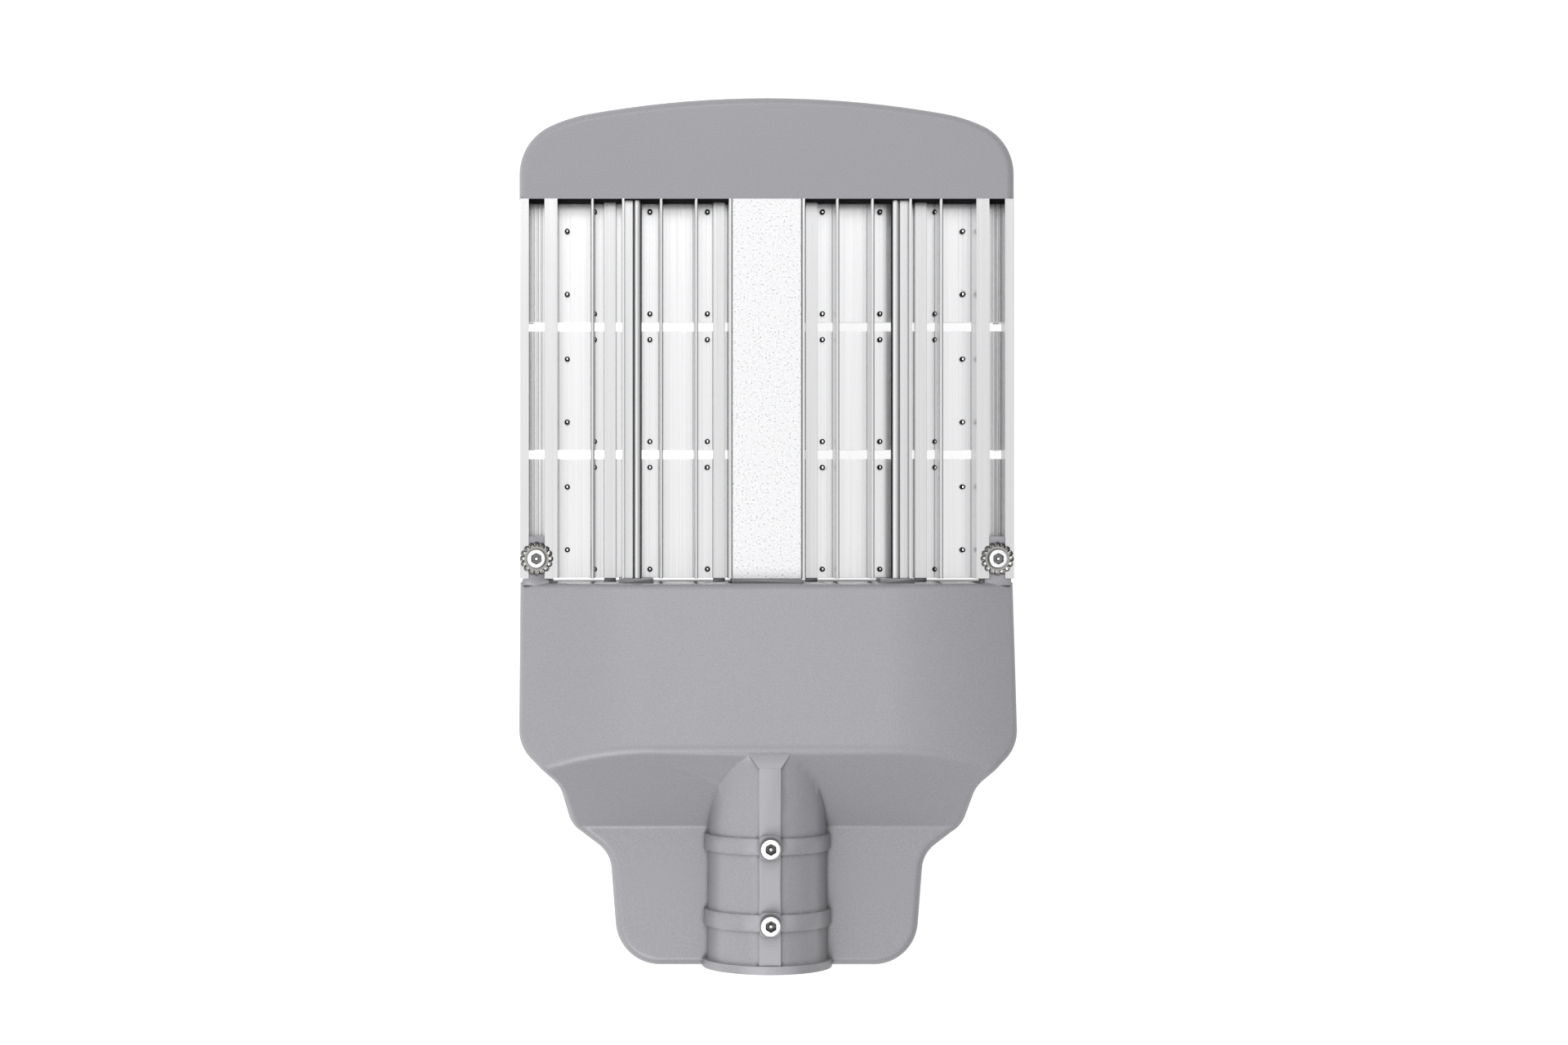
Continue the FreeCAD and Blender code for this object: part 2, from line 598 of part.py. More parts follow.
def side_profile(drop, low, front, rear):
    """The housing seen from the side, as a prism across the whole lamp, with its top lowered by drop.

    The front wall leans by FRONT_DRAFT outside and is upright inside.
    """
    reach = HOUSING_HALF_WIDTH + CROWN_MARGIN
    foot = front if drop else front + FRONT_DRAFT

    def point(y, z):
        return Vector(-reach, y, z)
    points = [point(rear, low), point(foot, low), point(front, FRONT_EDGE_Z - drop),
              point(CREST_Y, CREST_Z - drop), point(SLOPE_FOOT_Y, SLOPE_FOOT_Z - drop),
              point(rear, REAR_EDGE_Z - drop)]
    return Part.Face(Part.makePolygon(points + points[:1])).extrude(Vector(2 * reach, 0, 0))


def crown(drop):
    """A long bar whose top bends down towards both sides, laid along the rising face of the housing.

    The outer form has arcs, and the hollow has two chords in place of each arc.
    """
    angle = math.atan2(CREST_Z - FRONT_EDGE_Z, HOUSING_FRONT_Y - CREST_Y)
    reach = HOUSING_HALF_WIDTH + CROWN_MARGIN
    bend = math.asin((reach - CROWN_FLAT) / CROWN_RADIUS)

    def arc_point(side, turn):
        a = side * (CROWN_FLAT + CROWN_RADIUS * math.sin(turn))
        b = CROWN_RADIUS * (math.cos(turn) - 1) - drop
        return Vector(a, HOUSING_FRONT_Y + CROWN_MARGIN, FRONT_EDGE_Z - CROWN_MARGIN * math.tan(angle) + b)

    def arc(side, turns):
        a, b, c = [arc_point(side, turn) for turn in turns]
        return [Part.Arc(a, b, c).toShape()] if drop == 0 else [Part.makeLine(a, b), Part.makeLine(b, c)]
    below = Vector(0, 0, BOTTOM_Z * 3)
    right, left = arc_point(1, bend), arc_point(-1, bend)
    edges = [Part.makeLine(arc_point(-1, 0), arc_point(1, 0))] + arc(1, (0, bend / 2, bend))
    edges += [Part.makeLine(right, right + below), Part.makeLine(right + below, left + below),
              Part.makeLine(left + below, left)] + arc(-1, (bend, bend / 2, 0))
    run = HOUSING_FRONT_Y + 2 * CROWN_MARGIN
    return Part.Face(Part.Wire(edges)).extrude(Vector(0, -run, run * math.tan(angle)))


def is_crest(edge):
    """Whether an edge runs where the rising face meets the slope behind it."""
    middle = edge.valueAt((edge.FirstParameter + edge.LastParameter) / 2)
    ends = [vertex.Y for vertex in edge.Vertexes]
    return middle.z > SLOPE_FOOT_Z + 5 and min(ends) > SLOPE_FOOT_Y + 5 and max(ends) < CREST_Y + 0.01


def is_foot(edge):
    """Whether an edge runs across at the foot of the slope."""
    return edge.Length > HOUSING_HALF_WIDTH and all(abs(v.Y - SLOPE_FOOT_Y) < 0.01 for v in edge.Vertexes)


def top_form(inset, low, front):
    """A slab with the housing's crowned top, wider than the housing, with crest and foot rounded outside."""
    body = side_profile(inset, low, front, 0.0).common(crown(inset)).Solids[0]
    if inset:
        return body
    body = body.makeFillet(CREST_RADIUS, [e for e in body.Edges if is_crest(e)])
    return body.makeFillet(FOOT_RADIUS, [e for e in body.Edges if is_foot(e) and e.Vertexes[0].Z > low + 1])


def housing_form(inset, low, front):
    """The housing's outer form without its socket, every face drawn in by inset."""
    plan = housing_plan(inset, low, CREST_Z + 5.0, front + FRONT_DRAFT)
    return plan.common(top_form(inset, low, front)).Solids[0]


def rounded_form():
    """The housing's outer form with its upper edges rounded."""
    body = housing_form(0.0, BOTTOM_Z, HOUSING_FRONT_Y)
    rim = []
    for edge in body.Edges:
        middle = edge.valueAt((edge.FirstParameter + edge.LastParameter) / 2)
        if min([v.Z for v in edge.Vertexes] + [middle.z]) < TOP_Z - CROWN_MARGIN:
            continue
        faces = body.ancestorsOfType(edge, Part.Face)
        steep = [abs(f.normalAt(*f.Surface.parameter(middle)).z) < 0.05 for f in faces]
        if any(steep) and not all(steep):
            rim.append(edge)
    return body.makeFillet(EDGE_FILLET, rim)


def rear_housing():
    """Cast rear housing with the arm socket, its bands, rib, collar and bolt pads."""
    body = rounded_form()
    hollow = housing_form(CAST_WALL, BOTTOM_Z - 1, HOUSING_FRONT_Y - CAST_WALL)
    body = body.cut(hollow)
    ledge = housing_plan(CAST_WALL / 2, LEDGE_BOTTOM_Z, LEDGE_TOP_Z, HOUSING_FRONT_Y - CAST_WALL / 2)
    ledge = ledge.cut(housing_plan(LEDGE_INSET, LEDGE_BOTTOM_Z - 1, LEDGE_TOP_Z + 1,
                                   HOUSING_FRONT_Y - LEDGE_INSET))
    added = [ledge]
    for x, y in COVER_SCREWS:
        for s in (-1, 1):
            added.append(upright(s * x, y, COVER_BOSS_RADIUS, LEDGE_BOTTOM_Z, LEDGE_BOTTOM_Z + COVER_BOSS_HEIGHT,
                                 HOLE_SIDES))
    inside = housing_form(CAST_WALL / 2, BOTTOM_Z - 1, HOUSING_FRONT_Y - CAST_WALL / 2)
    for x, y in tray_post_places():
        post = upright(x, y, TRAY_POST_RADIUS, TRAY_TOP_Z, CREST_Z, HOLE_SIDES)
        added.append(post.common(inside))
    body = fused([body] + added + socket_solids() + pad_blocks() + tongues())
    return body.cut(Part.makeCompound(socket_cuts() + housing_holes())).removeSplitter()


def nose_cutter():
    """The half space in front of the slanting facet at the socket's nose."""
    slope = (RIB_TOP_Z + 0.5 - NOSE_Z) / (NOSE_Y - NOSE_TOP_Y)

    def point(y, z):
        return Vector(-NOSE_REACH, y, z)
    rise = 2 * (NOSE_Y - NOSE_TOP_Y)
    points = [point(NOSE_Y, NOSE_Z), point(NOSE_Y - rise, NOSE_Z + slope * rise),
              point(NOSE_Y + NOSE_REACH, RIB_TOP_Z + NOSE_REACH), point(NOSE_Y + NOSE_REACH, NOSE_Z - NOSE_REACH),
              point(NOSE_Y, NOSE_Z - NOSE_REACH)]
    return Part.Face(Part.makePolygon(points + points[:1])).extrude(Vector(2 * NOSE_REACH, 0, 0))


def socket_cone(grow, rear, front):
    """A stretch of the socket's slightly tapered tube, with its radius larger by grow."""
    def radius(y):
        share = y / NOSE_Y
        return SOCKET_MOUTH_RADIUS + share * (SOCKET_FRONT_RADIUS - SOCKET_MOUTH_RADIUS) + grow
    return Part.makeCone(radius(rear), radius(front), front - rear, Vector(0, rear, 0), Vector(0, 1, 0))


def socket_solids():
    """Everything that the arm socket adds to the housing."""
    upper = box((-NOSE_REACH, NOSE_REACH), (-1, NOSE_Y + 1), (-6, NOSE_REACH))
    tube = socket_cone(0.0, 0.0, BULKHEAD_Y + BULKHEAD)
    nose = socket_cone(0.0, BULKHEAD_Y + BULKHEAD - 1, NOSE_Y).common(upper)
    rib = box((-RIB_WIDTH / 2, RIB_WIDTH / 2), (0.0, NOSE_Y), (BORE_RADIUS + 2, RIB_TOP_Z))
    bands = [socket_cone(BAND_RISE, rear, front).common(upper) for rear, front in BANDS]
    collar = Part.makeCylinder(COLLAR_RADIUS, COLLAR_LENGTH, Vector(0, 0, 0), Vector(0, 1, 0))
    facet = nose_cutter()
    return [tube, nose.cut(facet), rib.cut(facet), collar] + bands + [bolt_pad(y) for y in BOLT_Y]


def bolt_pad(y):
    """The raised rounded pad under an arm bolt."""
    half_x, half_y = BOLT_PAD[0] / 2, BOLT_PAD[1] / 2
    pad = box((-half_x, half_x), (y - half_y, y + half_y), (BORE_RADIUS + 2, BOLT_PAD_Z))
    corners = [e for e in pad.Edges if abs(e.Vertexes[0].Z - e.Vertexes[-1].Z) > 1]
    return pad.makeFillet(BOLT_PAD_CORNER, corners)


def socket_cuts():
    """The bore, the hollow under the nose, the lead hole and the tapped holes of the arm bolts."""
    bore = lengthwise(0, 0, BORE_RADIUS, -1.0, BORE_LENGTH)
    under_nose = socket_cone(-CAST_WALL, BULKHEAD_Y + BULKHEAD, NOSE_Y)
    under_nose = under_nose.common(housing_form(CAST_WALL, -SOCKET_MOUTH_RADIUS, HOUSING_FRONT_Y - CAST_WALL))
    lead = lengthwise(0, 0, GROMMET_RADIUS, BORE_LENGTH - 1, BULKHEAD_Y + BULKHEAD + 1, 2 * HOLE_SIDES)
    taps = [upright(0, y, M8_RADIUS + THREAD_GAP, 0.0, BOLT_PAD_Z + 1, HOLE_SIDES) for y in BOLT_Y]
    return [bore, under_nose, lead] + taps


def pad_blocks():
    """The pads on the housing's front wall that the extrusions butt against."""
    blocks = []
    for low, high in PADS:
        for s in (-1, 1):
            blocks.append(box(sorted((s * low, s * high)), (HOUSING_FRONT_Y - 1, SINK_REAR_Y - SEAT_GAP),
                              (BASE_BOTTOM_Z, TOP_Z - TONGUE_DROP)))
    for x, z in end_screw_places():
        boss = PORT_RIB_WIDTH / 2
        blocks.append(box((x - boss, x + boss), (HOUSING_FRONT_Y - 1, SINK_REAR_Y - SEAT_GAP), (z - boss, z + boss)))
    return blocks


def tongues():
    """The T-shaped tongues that reach into the slots of both heatsinks."""
    solids = []
    top = TOP_Z - TONGUE_DROP
    wing = TOP_Z - FLANGE_THICKNESS - SIDE_GAP
    span = (HOUSING_FRONT_Y - 1, HOUSING_FRONT_Y + TONGUE_LENGTH)
    half = TONGUE_WIDTH / 2
    wing_low = WEB_X + INNER_WEB + SIDE_GAP
    wing_high = RIM_INNER_X - SIDE_GAP
    for s in (-1, 1):
        middle = s * SLOT_CENTRE_X
        solids.append(box((middle - half, middle + half), span, (top - TONGUE_DEPTH, top)))
        solids.append(box(sorted((s * wing_low, s * wing_high)), span, (top - TONGUE_DEPTH, wing)))
    return solids


def tray_post_places():
    """Where the posts for the gear tray come down."""
    return [(s * TRAY_POST_X, y) for s in (-1, 1)
            for y in (TRAY_REAR_Y + TRAY_POST_INSET, TRAY_FRONT_Y - TRAY_POST_INSET)]


def housing_holes():
    """Holes for end screws, side bolts, cover screws, tray screws and the wireway's gland."""
    wall = HOUSING_FRONT_Y - CAST_WALL - 1
    holes = [lengthwise(x, z, PORT_RADIUS + HOLE_GAP, wall, SINK_REAR_Y + 1, HOLE_SIDES)
             for x, z in end_screw_places()]
    holes += [upright(s * SLOT_CENTRE_X, SIDE_BOLT_Y, SIDE_BOLT_RADIUS + THREAD_GAP,
                      TOP_Z - TONGUE_DROP - TONGUE_DEPTH - 1, TOP_Z + 1, HOLE_SIDES) for s in (-1, 1)]
    holes += [upright(s * x, y, M4_RADIUS + THREAD_GAP, LEDGE_BOTTOM_Z - 1, LEDGE_BOTTOM_Z + COVER_BOSS_HEIGHT - 1,
                      SCREW_SIDES) for x, y in COVER_SCREWS for s in (-1, 1)]
    holes += [upright(x, y, M4_RADIUS + THREAD_GAP, TRAY_TOP_Z - 1, TRAY_TOP_Z + M4_LENGTH, SCREW_SIDES)
              for x, y in tray_post_places()]
    gland = lengthwise(0, GLAND_Z, GLAND_RADIUS + THREAD_GAP, wall, SINK_REAR_Y + 1, 2 * HOLE_SIDES)
    return holes + [gland]


def socket_screw(x, y, seat, tip, radius, head_radius, head_height, key):
    """A hexagon socket head screw standing upright, with its head on a seat."""
    head = upright(x, y, head_radius, seat, seat + head_height, HEAD_SIDES)
    recess = upright(x, y, key / math.sqrt(3), seat + head_height * 0.45, seat + head_height + 1, 6)
    shank = upright(x, y, radius, tip, seat, HOLE_SIDES)
    return head.cut(recess).fuse(shank)


def tooth_washer(x):
    """An external tooth lock washer, flat, lying over the tongue and both flanges."""
    outline = []
    step = 2 * math.pi / WASHER_TEETH
    for k in range(WASHER_TEETH):
        for share, radius in ((-0.34, WASHER_ROOT), (-0.24, WASHER_RADIUS), (0.24, WASHER_RADIUS),
                              (0.34, WASHER_ROOT)):
            turn = (k + share) * step
            outline.append((radius * math.cos(turn), radius * math.sin(turn)))
    blank = face_of(outline, lambda a, b: Vector(x + a, SIDE_BOLT_Y + b, TOP_Z + SEAT_GAP))
    blank = blank.extrude(Vector(0, 0, WASHER_THICKNESS))
    return blank.cut(upright(x, SIDE_BOLT_Y, WASHER_BORE, TOP_Z - 1, TOP_Z + WASHER_THICKNESS + 2, 2 * HOLE_SIDES))


def side_bolt(x):
    """The screw that clamps a tooth washer on a tongue."""
    seat = TOP_Z + SEAT_GAP + WASHER_THICKNESS
    return socket_screw(x, SIDE_BOLT_Y, seat, seat - SIDE_BOLT_LENGTH, SIDE_BOLT_RADIUS, SIDE_HEAD_RADIUS,
                        SIDE_HEAD_HEIGHT, SIDE_KEY)


def arm_bolt(y):
    """A screw that clamps the pole's arm in the socket."""
    return socket_screw(0, y, BOLT_PAD_Z, M8_TIP_Z, M8_RADIUS, M8_HEAD_RADIUS, M8_HEAD_HEIGHT, M8_KEY)


def cover_plan(inset, low, high):
    """A prism of the opening's outline under the housing, drawn in by inset."""
    return housing_plan(CAST_WALL + inset, low, high, HOUSING_FRONT_Y - CAST_WALL - inset)


def driver_cover():
    """The flat cover under the gear, let into the housing's rim."""
    low, top = LEDGE_BOTTOM_Z - GASKET_THICKNESS - DRIVER_COVER_THICKNESS, LEDGE_BOTTOM_Z - GASKET_THICKNESS
    body = cover_plan(DRIVER_COVER_GAP, low, top)
    holes = [upright(s * x, y, M4_RADIUS + HOLE_GAP, low - 1, top + 1, SCREW_SIDES)
             for x, y in COVER_SCREWS for s in (-1, 1)]
    return body.cut(Part.makeCompound(holes))


def cover_gasket():
    """The seal between the cover and the housing's ledge."""
    low = LEDGE_BOTTOM_Z - GASKET_THICKNESS
    ring = cover_plan(DRIVER_COVER_GAP + SIDE_GAP, low, LEDGE_BOTTOM_Z)
    ring = ring.cut(housing_plan(LEDGE_INSET, low - 1, LEDGE_BOTTOM_Z + 1, HOUSING_FRONT_Y - LEDGE_INSET))
    holes = [upright(s * x, y, M4_RADIUS + HOLE_GAP, low - 1, LEDGE_BOTTOM_Z + 1, SCREW_SIDES)
             for x, y in COVER_SCREWS for s in (-1, 1)]
    return ring.cut(Part.makeCompound(holes))


def cover_screws():
    """Hexagon head screws of the cover, whose heads stay above the rim's level."""
    screws = []
    seat = LEDGE_BOTTOM_Z - GASKET_THICKNESS - DRIVER_COVER_THICKNESS
    tip = LEDGE_BOTTOM_Z + COVER_BOSS_HEIGHT - 2.0
    for x, y in COVER_SCREWS:
        for s in (-1, 1):
            head = upright(s * x, y, M4_HEAD_RADIUS, seat - M4_HEAD_HEIGHT, seat, SCREW_SIDES)
            shank = upright(s * x, y, M4_RADIUS, seat, tip, SCREW_SIDES)
            screws.append(head.fuse(shank))
    return Part.makeCompound(screws)


def gear_tray():
    """The sheet that carries the gear, screwed up against the four posts."""
    low = TRAY_TOP_Z - TRAY_THICKNESS
    sheet = box((-TRAY_HALF_WIDTH, TRAY_HALF_WIDTH), (TRAY_REAR_Y, TRAY_FRONT_Y), (low, TRAY_TOP_Z))
    holes = [upright(x, y, M4_RADIUS + HOLE_GAP, low - 1, TRAY_TOP_Z + 1, SCREW_SIDES)
             for x, y in tray_post_places()]
    return sheet.cut(Part.makeCompound(holes))


def tray_screws():
    """Hexagon head screws under the gear tray."""
    seat = TRAY_TOP_Z - TRAY_THICKNESS
    screws = [upright(x, y, M4_HEAD_RADIUS, seat - M4_HEAD_HEIGHT, seat, SCREW_SIDES)
              .fuse(upright(x, y, M4_RADIUS, seat, seat + M4_LENGTH, SCREW_SIDES)) for x, y in tray_post_places()]
    return Part.makeCompound(screws)


def on_tray(size, centre):
    """A block of gear that stands on the tray."""
    (width, depth, height), (x, y) = size, centre
    return box((x - width / 2, x + width / 2), (y - depth / 2, y + depth / 2), (TRAY_TOP_Z, TRAY_TOP_Z + height))


def driver():
    """The LED driver in its drawn case."""
    x = TRAY_HALF_WIDTH - DRIVER_INSET - DRIVER_SIZE[0] / 2
    case = on_tray(DRIVER_SIZE, (x, TRAY_FRONT_Y - DRIVER_FRONT_MARGIN - DRIVER_SIZE[1] / 2))
    long_edges = [e for e in case.Edges if abs(e.Vertexes[0].X - e.Vertexes[-1].X) > 1
                  and e.Vertexes[0].Z > TRAY_TOP_Z + 1]
    return case.makeChamfer(DRIVER_EDGE, long_edges)


def terminal_block():
    """The mains terminals, with a row of wire entries."""
    x, y = TERMINAL_INSET + TERMINAL_SIZE[0] / 2 - TRAY_HALF_WIDTH, TERMINAL_Y
    block = on_tray(TERMINAL_SIZE, (x, y))
    entries = 3
    pitch = TERMINAL_SIZE[0] / entries
    holes = [lengthwise(x + (k - 1) * pitch, TRAY_TOP_Z + TERMINAL_SIZE[2] / 2, 2.0, y - TERMINAL_SIZE[1],
                        y - TERMINAL_SIZE[1] / 4, HOLE_SIDES) for k in range(entries)]
    return block.cut(Part.makeCompound(holes))


def surge_protector():
    """The surge protector beside the driver."""
    return on_tray(SURGE_SIZE, (SURGE_INSET + SURGE_SIZE[0] / 2 - TRAY_HALF_WIDTH, SURGE_Y))


def wireway_gland():
    """The gland that takes the modules' leads into the housing, with its locknut inside."""
    seat = SINK_REAR_Y - SEAT_GAP
    inside = HOUSING_FRONT_Y - CAST_WALL

    def hexagon(rear, front):
        corners = regular(GLAND_FLATS / math.sqrt(3), 6)
        return face_of(corners, lambda a, b: Vector(a, rear, GLAND_Z + b)).extrude(Vector(0, front - rear, 0))
    body = lengthwise(0, GLAND_Z, GLAND_RADIUS, inside - GLAND_NUT - 2, seat, 2 * HOLE_SIDES)
    body = fused([body, hexagon(seat, seat + GLAND_HEAD), hexagon(inside - GLAND_NUT, inside)])
    return body.cut(lengthwise(0, GLAND_Z, GLAND_BORE, inside - GLAND_NUT - 3, seat + GLAND_HEAD + 1, HOLE_SIDES))


def arm_grommet():
    """The rubber grommet in the socket's end wall."""
    rear, wall_end = BORE_LENGTH + SIDE_GAP, BULKHEAD_Y + BULKHEAD
    front = wall_end + GROMMET_FLANGE_LENGTH
    body = lengthwise(0, 0, GROMMET_RADIUS - SEAT_GAP, rear, wall_end, 2 * HOLE_SIDES)
    flange = lengthwise(0, 0, GROMMET_FLANGE, wall_end, front, 2 * HOLE_SIDES)
    return body.fuse(flange).cut(lengthwise(0, 0, GROMMET_BORE, rear - 1, front + 1, HOLE_SIDES))


def build():
    """Every sub-part by its node's name."""
    right_sink = heatsink()
    nodes = {
        "heatsink_right": right_sink,
        "heatsink_left": mirrored(right_sink),
        "wireway": wireway(),
        "wireway_cover": wireway_cover(),
        "module_screws": module_screws(),
        "front_cap": front_cap(),
        "end_screws_front": Part.makeCompound([end_screw(x, z, SINK_FRONT_Y + CAST_WALL, -1)
                                               for x, z in end_screw_places()]),
        "end_screws_rear": Part.makeCompound([end_screw(x, z, HOUSING_FRONT_Y - CAST_WALL, 1)
                                              for x, z in end_screw_places()]),
        "rear_housing": rear_housing(),
        "tooth_washer_right": tooth_washer(SLOT_CENTRE_X),
        "tooth_washer_left": tooth_washer(-SLOT_CENTRE_X),
        "side_bolt_right": side_bolt(SLOT_CENTRE_X),
        "side_bolt_left": side_bolt(-SLOT_CENTRE_X),
        "arm_bolt_rear": arm_bolt(BOLT_Y[0]),
        "arm_bolt_front": arm_bolt(BOLT_Y[1]),
        "driver_cover": driver_cover(),
        "cover_gasket": cover_gasket(),
        "cover_screws": cover_screws(),
        "gear_tray": gear_tray(),
        "tray_screws": tray_screws(),
        "driver": driver(),
        "terminal_block": terminal_block(),
        "surge_protector": surge_protector(),
        "wireway_gland": wireway_gland(),
        "arm_grommet": arm_grommet(),
    }
    for number, middle in enumerate(section_centres(), start=1):
        pieces = {"led_board": led_board(middle), "lens_gasket": lens_gasket(middle), "lens_plate": lens_plate(middle)}
        for name, shape in pieces.items():
            nodes[f"{name}_right_{number}"] = shape
            nodes[f"{name}_left_{number}"] = mirrored(shape)
    return nodes


for node, shape in build().items():
    shape.exportStep(f"parts/{node}.step")
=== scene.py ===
"""Finish, fasteners, optics and studio for an LED street light head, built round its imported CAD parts."""

import math

import bmesh
import bpy
import numpy as np
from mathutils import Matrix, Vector


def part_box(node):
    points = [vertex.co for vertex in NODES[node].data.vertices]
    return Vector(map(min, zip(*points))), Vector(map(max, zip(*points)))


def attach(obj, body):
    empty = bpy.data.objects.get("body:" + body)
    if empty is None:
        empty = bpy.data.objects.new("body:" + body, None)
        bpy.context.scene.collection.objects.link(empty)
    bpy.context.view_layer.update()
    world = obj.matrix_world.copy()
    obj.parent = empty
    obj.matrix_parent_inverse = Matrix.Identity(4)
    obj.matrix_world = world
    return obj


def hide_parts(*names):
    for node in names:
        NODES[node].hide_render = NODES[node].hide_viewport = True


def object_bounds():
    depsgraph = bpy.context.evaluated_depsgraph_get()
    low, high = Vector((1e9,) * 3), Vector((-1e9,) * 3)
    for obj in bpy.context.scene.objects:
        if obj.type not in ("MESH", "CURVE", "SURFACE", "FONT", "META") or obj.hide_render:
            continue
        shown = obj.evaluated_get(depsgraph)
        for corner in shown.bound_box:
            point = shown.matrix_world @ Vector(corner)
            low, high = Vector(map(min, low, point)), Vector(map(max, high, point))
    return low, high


bl_info = {
    "name": "Street light head",
    "version": (1, 0, 0),
    "blender": (4, 5, 0),
    "location": "3D View > Sidebar > Lamp",
    "description": "Dresses the parts of an LED street light head and lights it from above",
    "category": "Object",
}

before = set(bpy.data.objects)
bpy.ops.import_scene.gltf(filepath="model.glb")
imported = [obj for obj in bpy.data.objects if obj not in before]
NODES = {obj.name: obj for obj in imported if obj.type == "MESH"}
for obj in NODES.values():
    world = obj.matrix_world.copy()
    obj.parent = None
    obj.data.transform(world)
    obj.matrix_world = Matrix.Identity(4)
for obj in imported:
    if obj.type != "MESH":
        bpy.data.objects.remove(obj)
CAD_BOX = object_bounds()
SIDES = ("left", "right")
MM = 0.001

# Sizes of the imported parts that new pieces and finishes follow, and the angle past which edges stay crisp
SAW_WIDTH = 5.55 * MM
MODULE_INNER, MODULE_OUTER = 30.0 * MM, 127.0 * MM
CHAMFER_X, CHAMFER_Y = 16.5 * MM, 11.0 * MM
# Heights of the rib's painted highlight, and of the painted shade on the extrusions' raised faces
RIB_LOW, RIB_TOP = 34.5 * MM, 38.0 * MM
BASE_TOP, RAISED_TOP = -27 * MM, -24 * MM
SHARP = math.radians(35)


# Properties


class LampFinish(bpy.types.PropertyGroup):
    """Colours and surface grain."""

    paint: bpy.props.FloatVectorProperty(
        name="Casting paint", description="Colour of the powder coat on housing and cap", subtype="COLOR",
        size=3, default=(0.254, 0.251, 0.268), min=0.0, max=1.0)
    paint_grain: bpy.props.FloatProperty(
        name="Paint grain", description="Size of the powder coat's grain", subtype="DISTANCE", unit="LENGTH",
        default=0.7 * MM, min=0.05 * MM, max=3 * MM)
    paint_roughness: bpy.props.FloatProperty(
        name="Paint roughness", description="Roughness of the powder coat", subtype="FACTOR",
        default=0.38, min=0.0, max=1.0)
    cast_rounding: bpy.props.FloatProperty(
        name="Casting edges", description="Radius that softens the edges of the castings", subtype="DISTANCE",
        unit="LENGTH", default=0.9 * MM, min=0.0, max=3 * MM)
    aluminium: bpy.props.FloatVectorProperty(
        name="Extrusion", description="Colour of the natural anodised extrusions", subtype="COLOR",
        size=3, default=(0.83, 0.83, 0.84), min=0.0, max=1.0)
    strip: bpy.props.FloatVectorProperty(
        name="Centre strip", description="Colour of the blasted strip over the wireway", subtype="COLOR",
        size=3, default=(0.69, 0.69, 0.70), min=0.0, max=1.0)
    steel: bpy.props.FloatVectorProperty(
        name="Stainless steel", description="Colour of the fasteners", subtype="COLOR",
        size=3, default=(0.74, 0.73, 0.70), min=0.0, max=1.0)


class LampFasteners(bpy.types.PropertyGroup):
    """Sizes of screws and washers."""

    thread_pitch: bpy.props.FloatProperty(
        name="Module screw pitch", description="Pitch of the thread on the module screws", subtype="DISTANCE",
        unit="LENGTH", default=0.5 * MM, min=0.2 * MM, max=1 * MM)
    teeth: bpy.props.IntProperty(
        name="Washer teeth", description="Number of twisted teeth on a lock washer",
        default=16, min=8, max=24)
    tooth_twist: bpy.props.FloatProperty(
        name="Tooth twist", description="Angle by which each tooth is twisted about its own length",
        subtype="ANGLE", unit="ROTATION", default=math.radians(32), min=0.0, max=math.radians(60))
    swarf: bpy.props.IntProperty(
        name="Swarf curls", description="Number of screw tips with a curl of swarf",
        default=11, min=0, max=48)
    head_edge: bpy.props.FloatProperty(
        name="Head edge", description="Radius of the upper edge of a socket head", subtype="DISTANCE",
        unit="LENGTH", default=0.8 * MM, min=0.1 * MM, max=2 * MM)


class LampOptics(bpy.types.PropertyGroup):
    """Lens plates and LEDs."""

    dome_height: bpy.props.FloatProperty(
        name="Lens height", description="Height of each lens below its plate", subtype="DISTANCE",
        unit="LENGTH", default=5 * MM, min=1 * MM, max=6 * MM)
    phosphor: bpy.props.FloatVectorProperty(
        name="Phosphor", description="Colour of the LED chips", subtype="COLOR",
        size=3, default=(0.86, 0.62, 0.13), min=0.0, max=1.0)


class LampStage(bpy.types.PropertyGroup):
    """Floor, light and camera."""

    sky_light: bpy.props.FloatProperty(
        name="Surrounding light", description="Strength of the soft light from all round", default=0.67,
        min=0.0, max=5.0)
    sky_lean: bpy.props.FloatVectorProperty(
        name="Light's lean", description="Direction and amount by which the surrounding light is stronger",
        subtype="XYZ", size=3, default=(-0.52, 0.30, 0.37))
    key_light: bpy.props.FloatProperty(
        name="Key light", description="Power of the large soft light beyond the cap", subtype="POWER",
        unit="POWER", default=11.0, min=0.0, max=500.0)
    fill_light: bpy.props.FloatProperty(
        name="Fill light", description="Power of the soft light behind the socket", subtype="POWER",
        unit="POWER", default=13.0, min=0.0, max=500.0)
    camera_height: bpy.props.FloatProperty(
        name="Camera height", description="Height of the lens above the fin tops", subtype="DISTANCE",
        unit="LENGTH", default=1.75, min=0.5, max=10.0)
    focal_length: bpy.props.FloatProperty(
        name="Focal length", description="Focal length on a sensor 36 mm wide", subtype="DISTANCE_CAMERA",
        unit="CAMERA", default=66.07, min=10.0, max=300.0)


# Surfaces


def add_piece(name, points, faces, body="root", smooth=True):
    """Makes an object at the origin from whole arrays of corner points and quad indices."""
    mesh = bpy.data.meshes.new(name)
    mesh.from_pydata(np.asarray(points, float).reshape(-1, 3), [], np.asarray(faces).reshape(-1, 4))
    mesh.validate()
    mesh.polygons.foreach_set("use_smooth", np.full(len(mesh.polygons), smooth))
    piece = bpy.data.objects.new(name, mesh)
    bpy.context.scene.collection.objects.link(piece)
    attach(piece, body)
    return piece


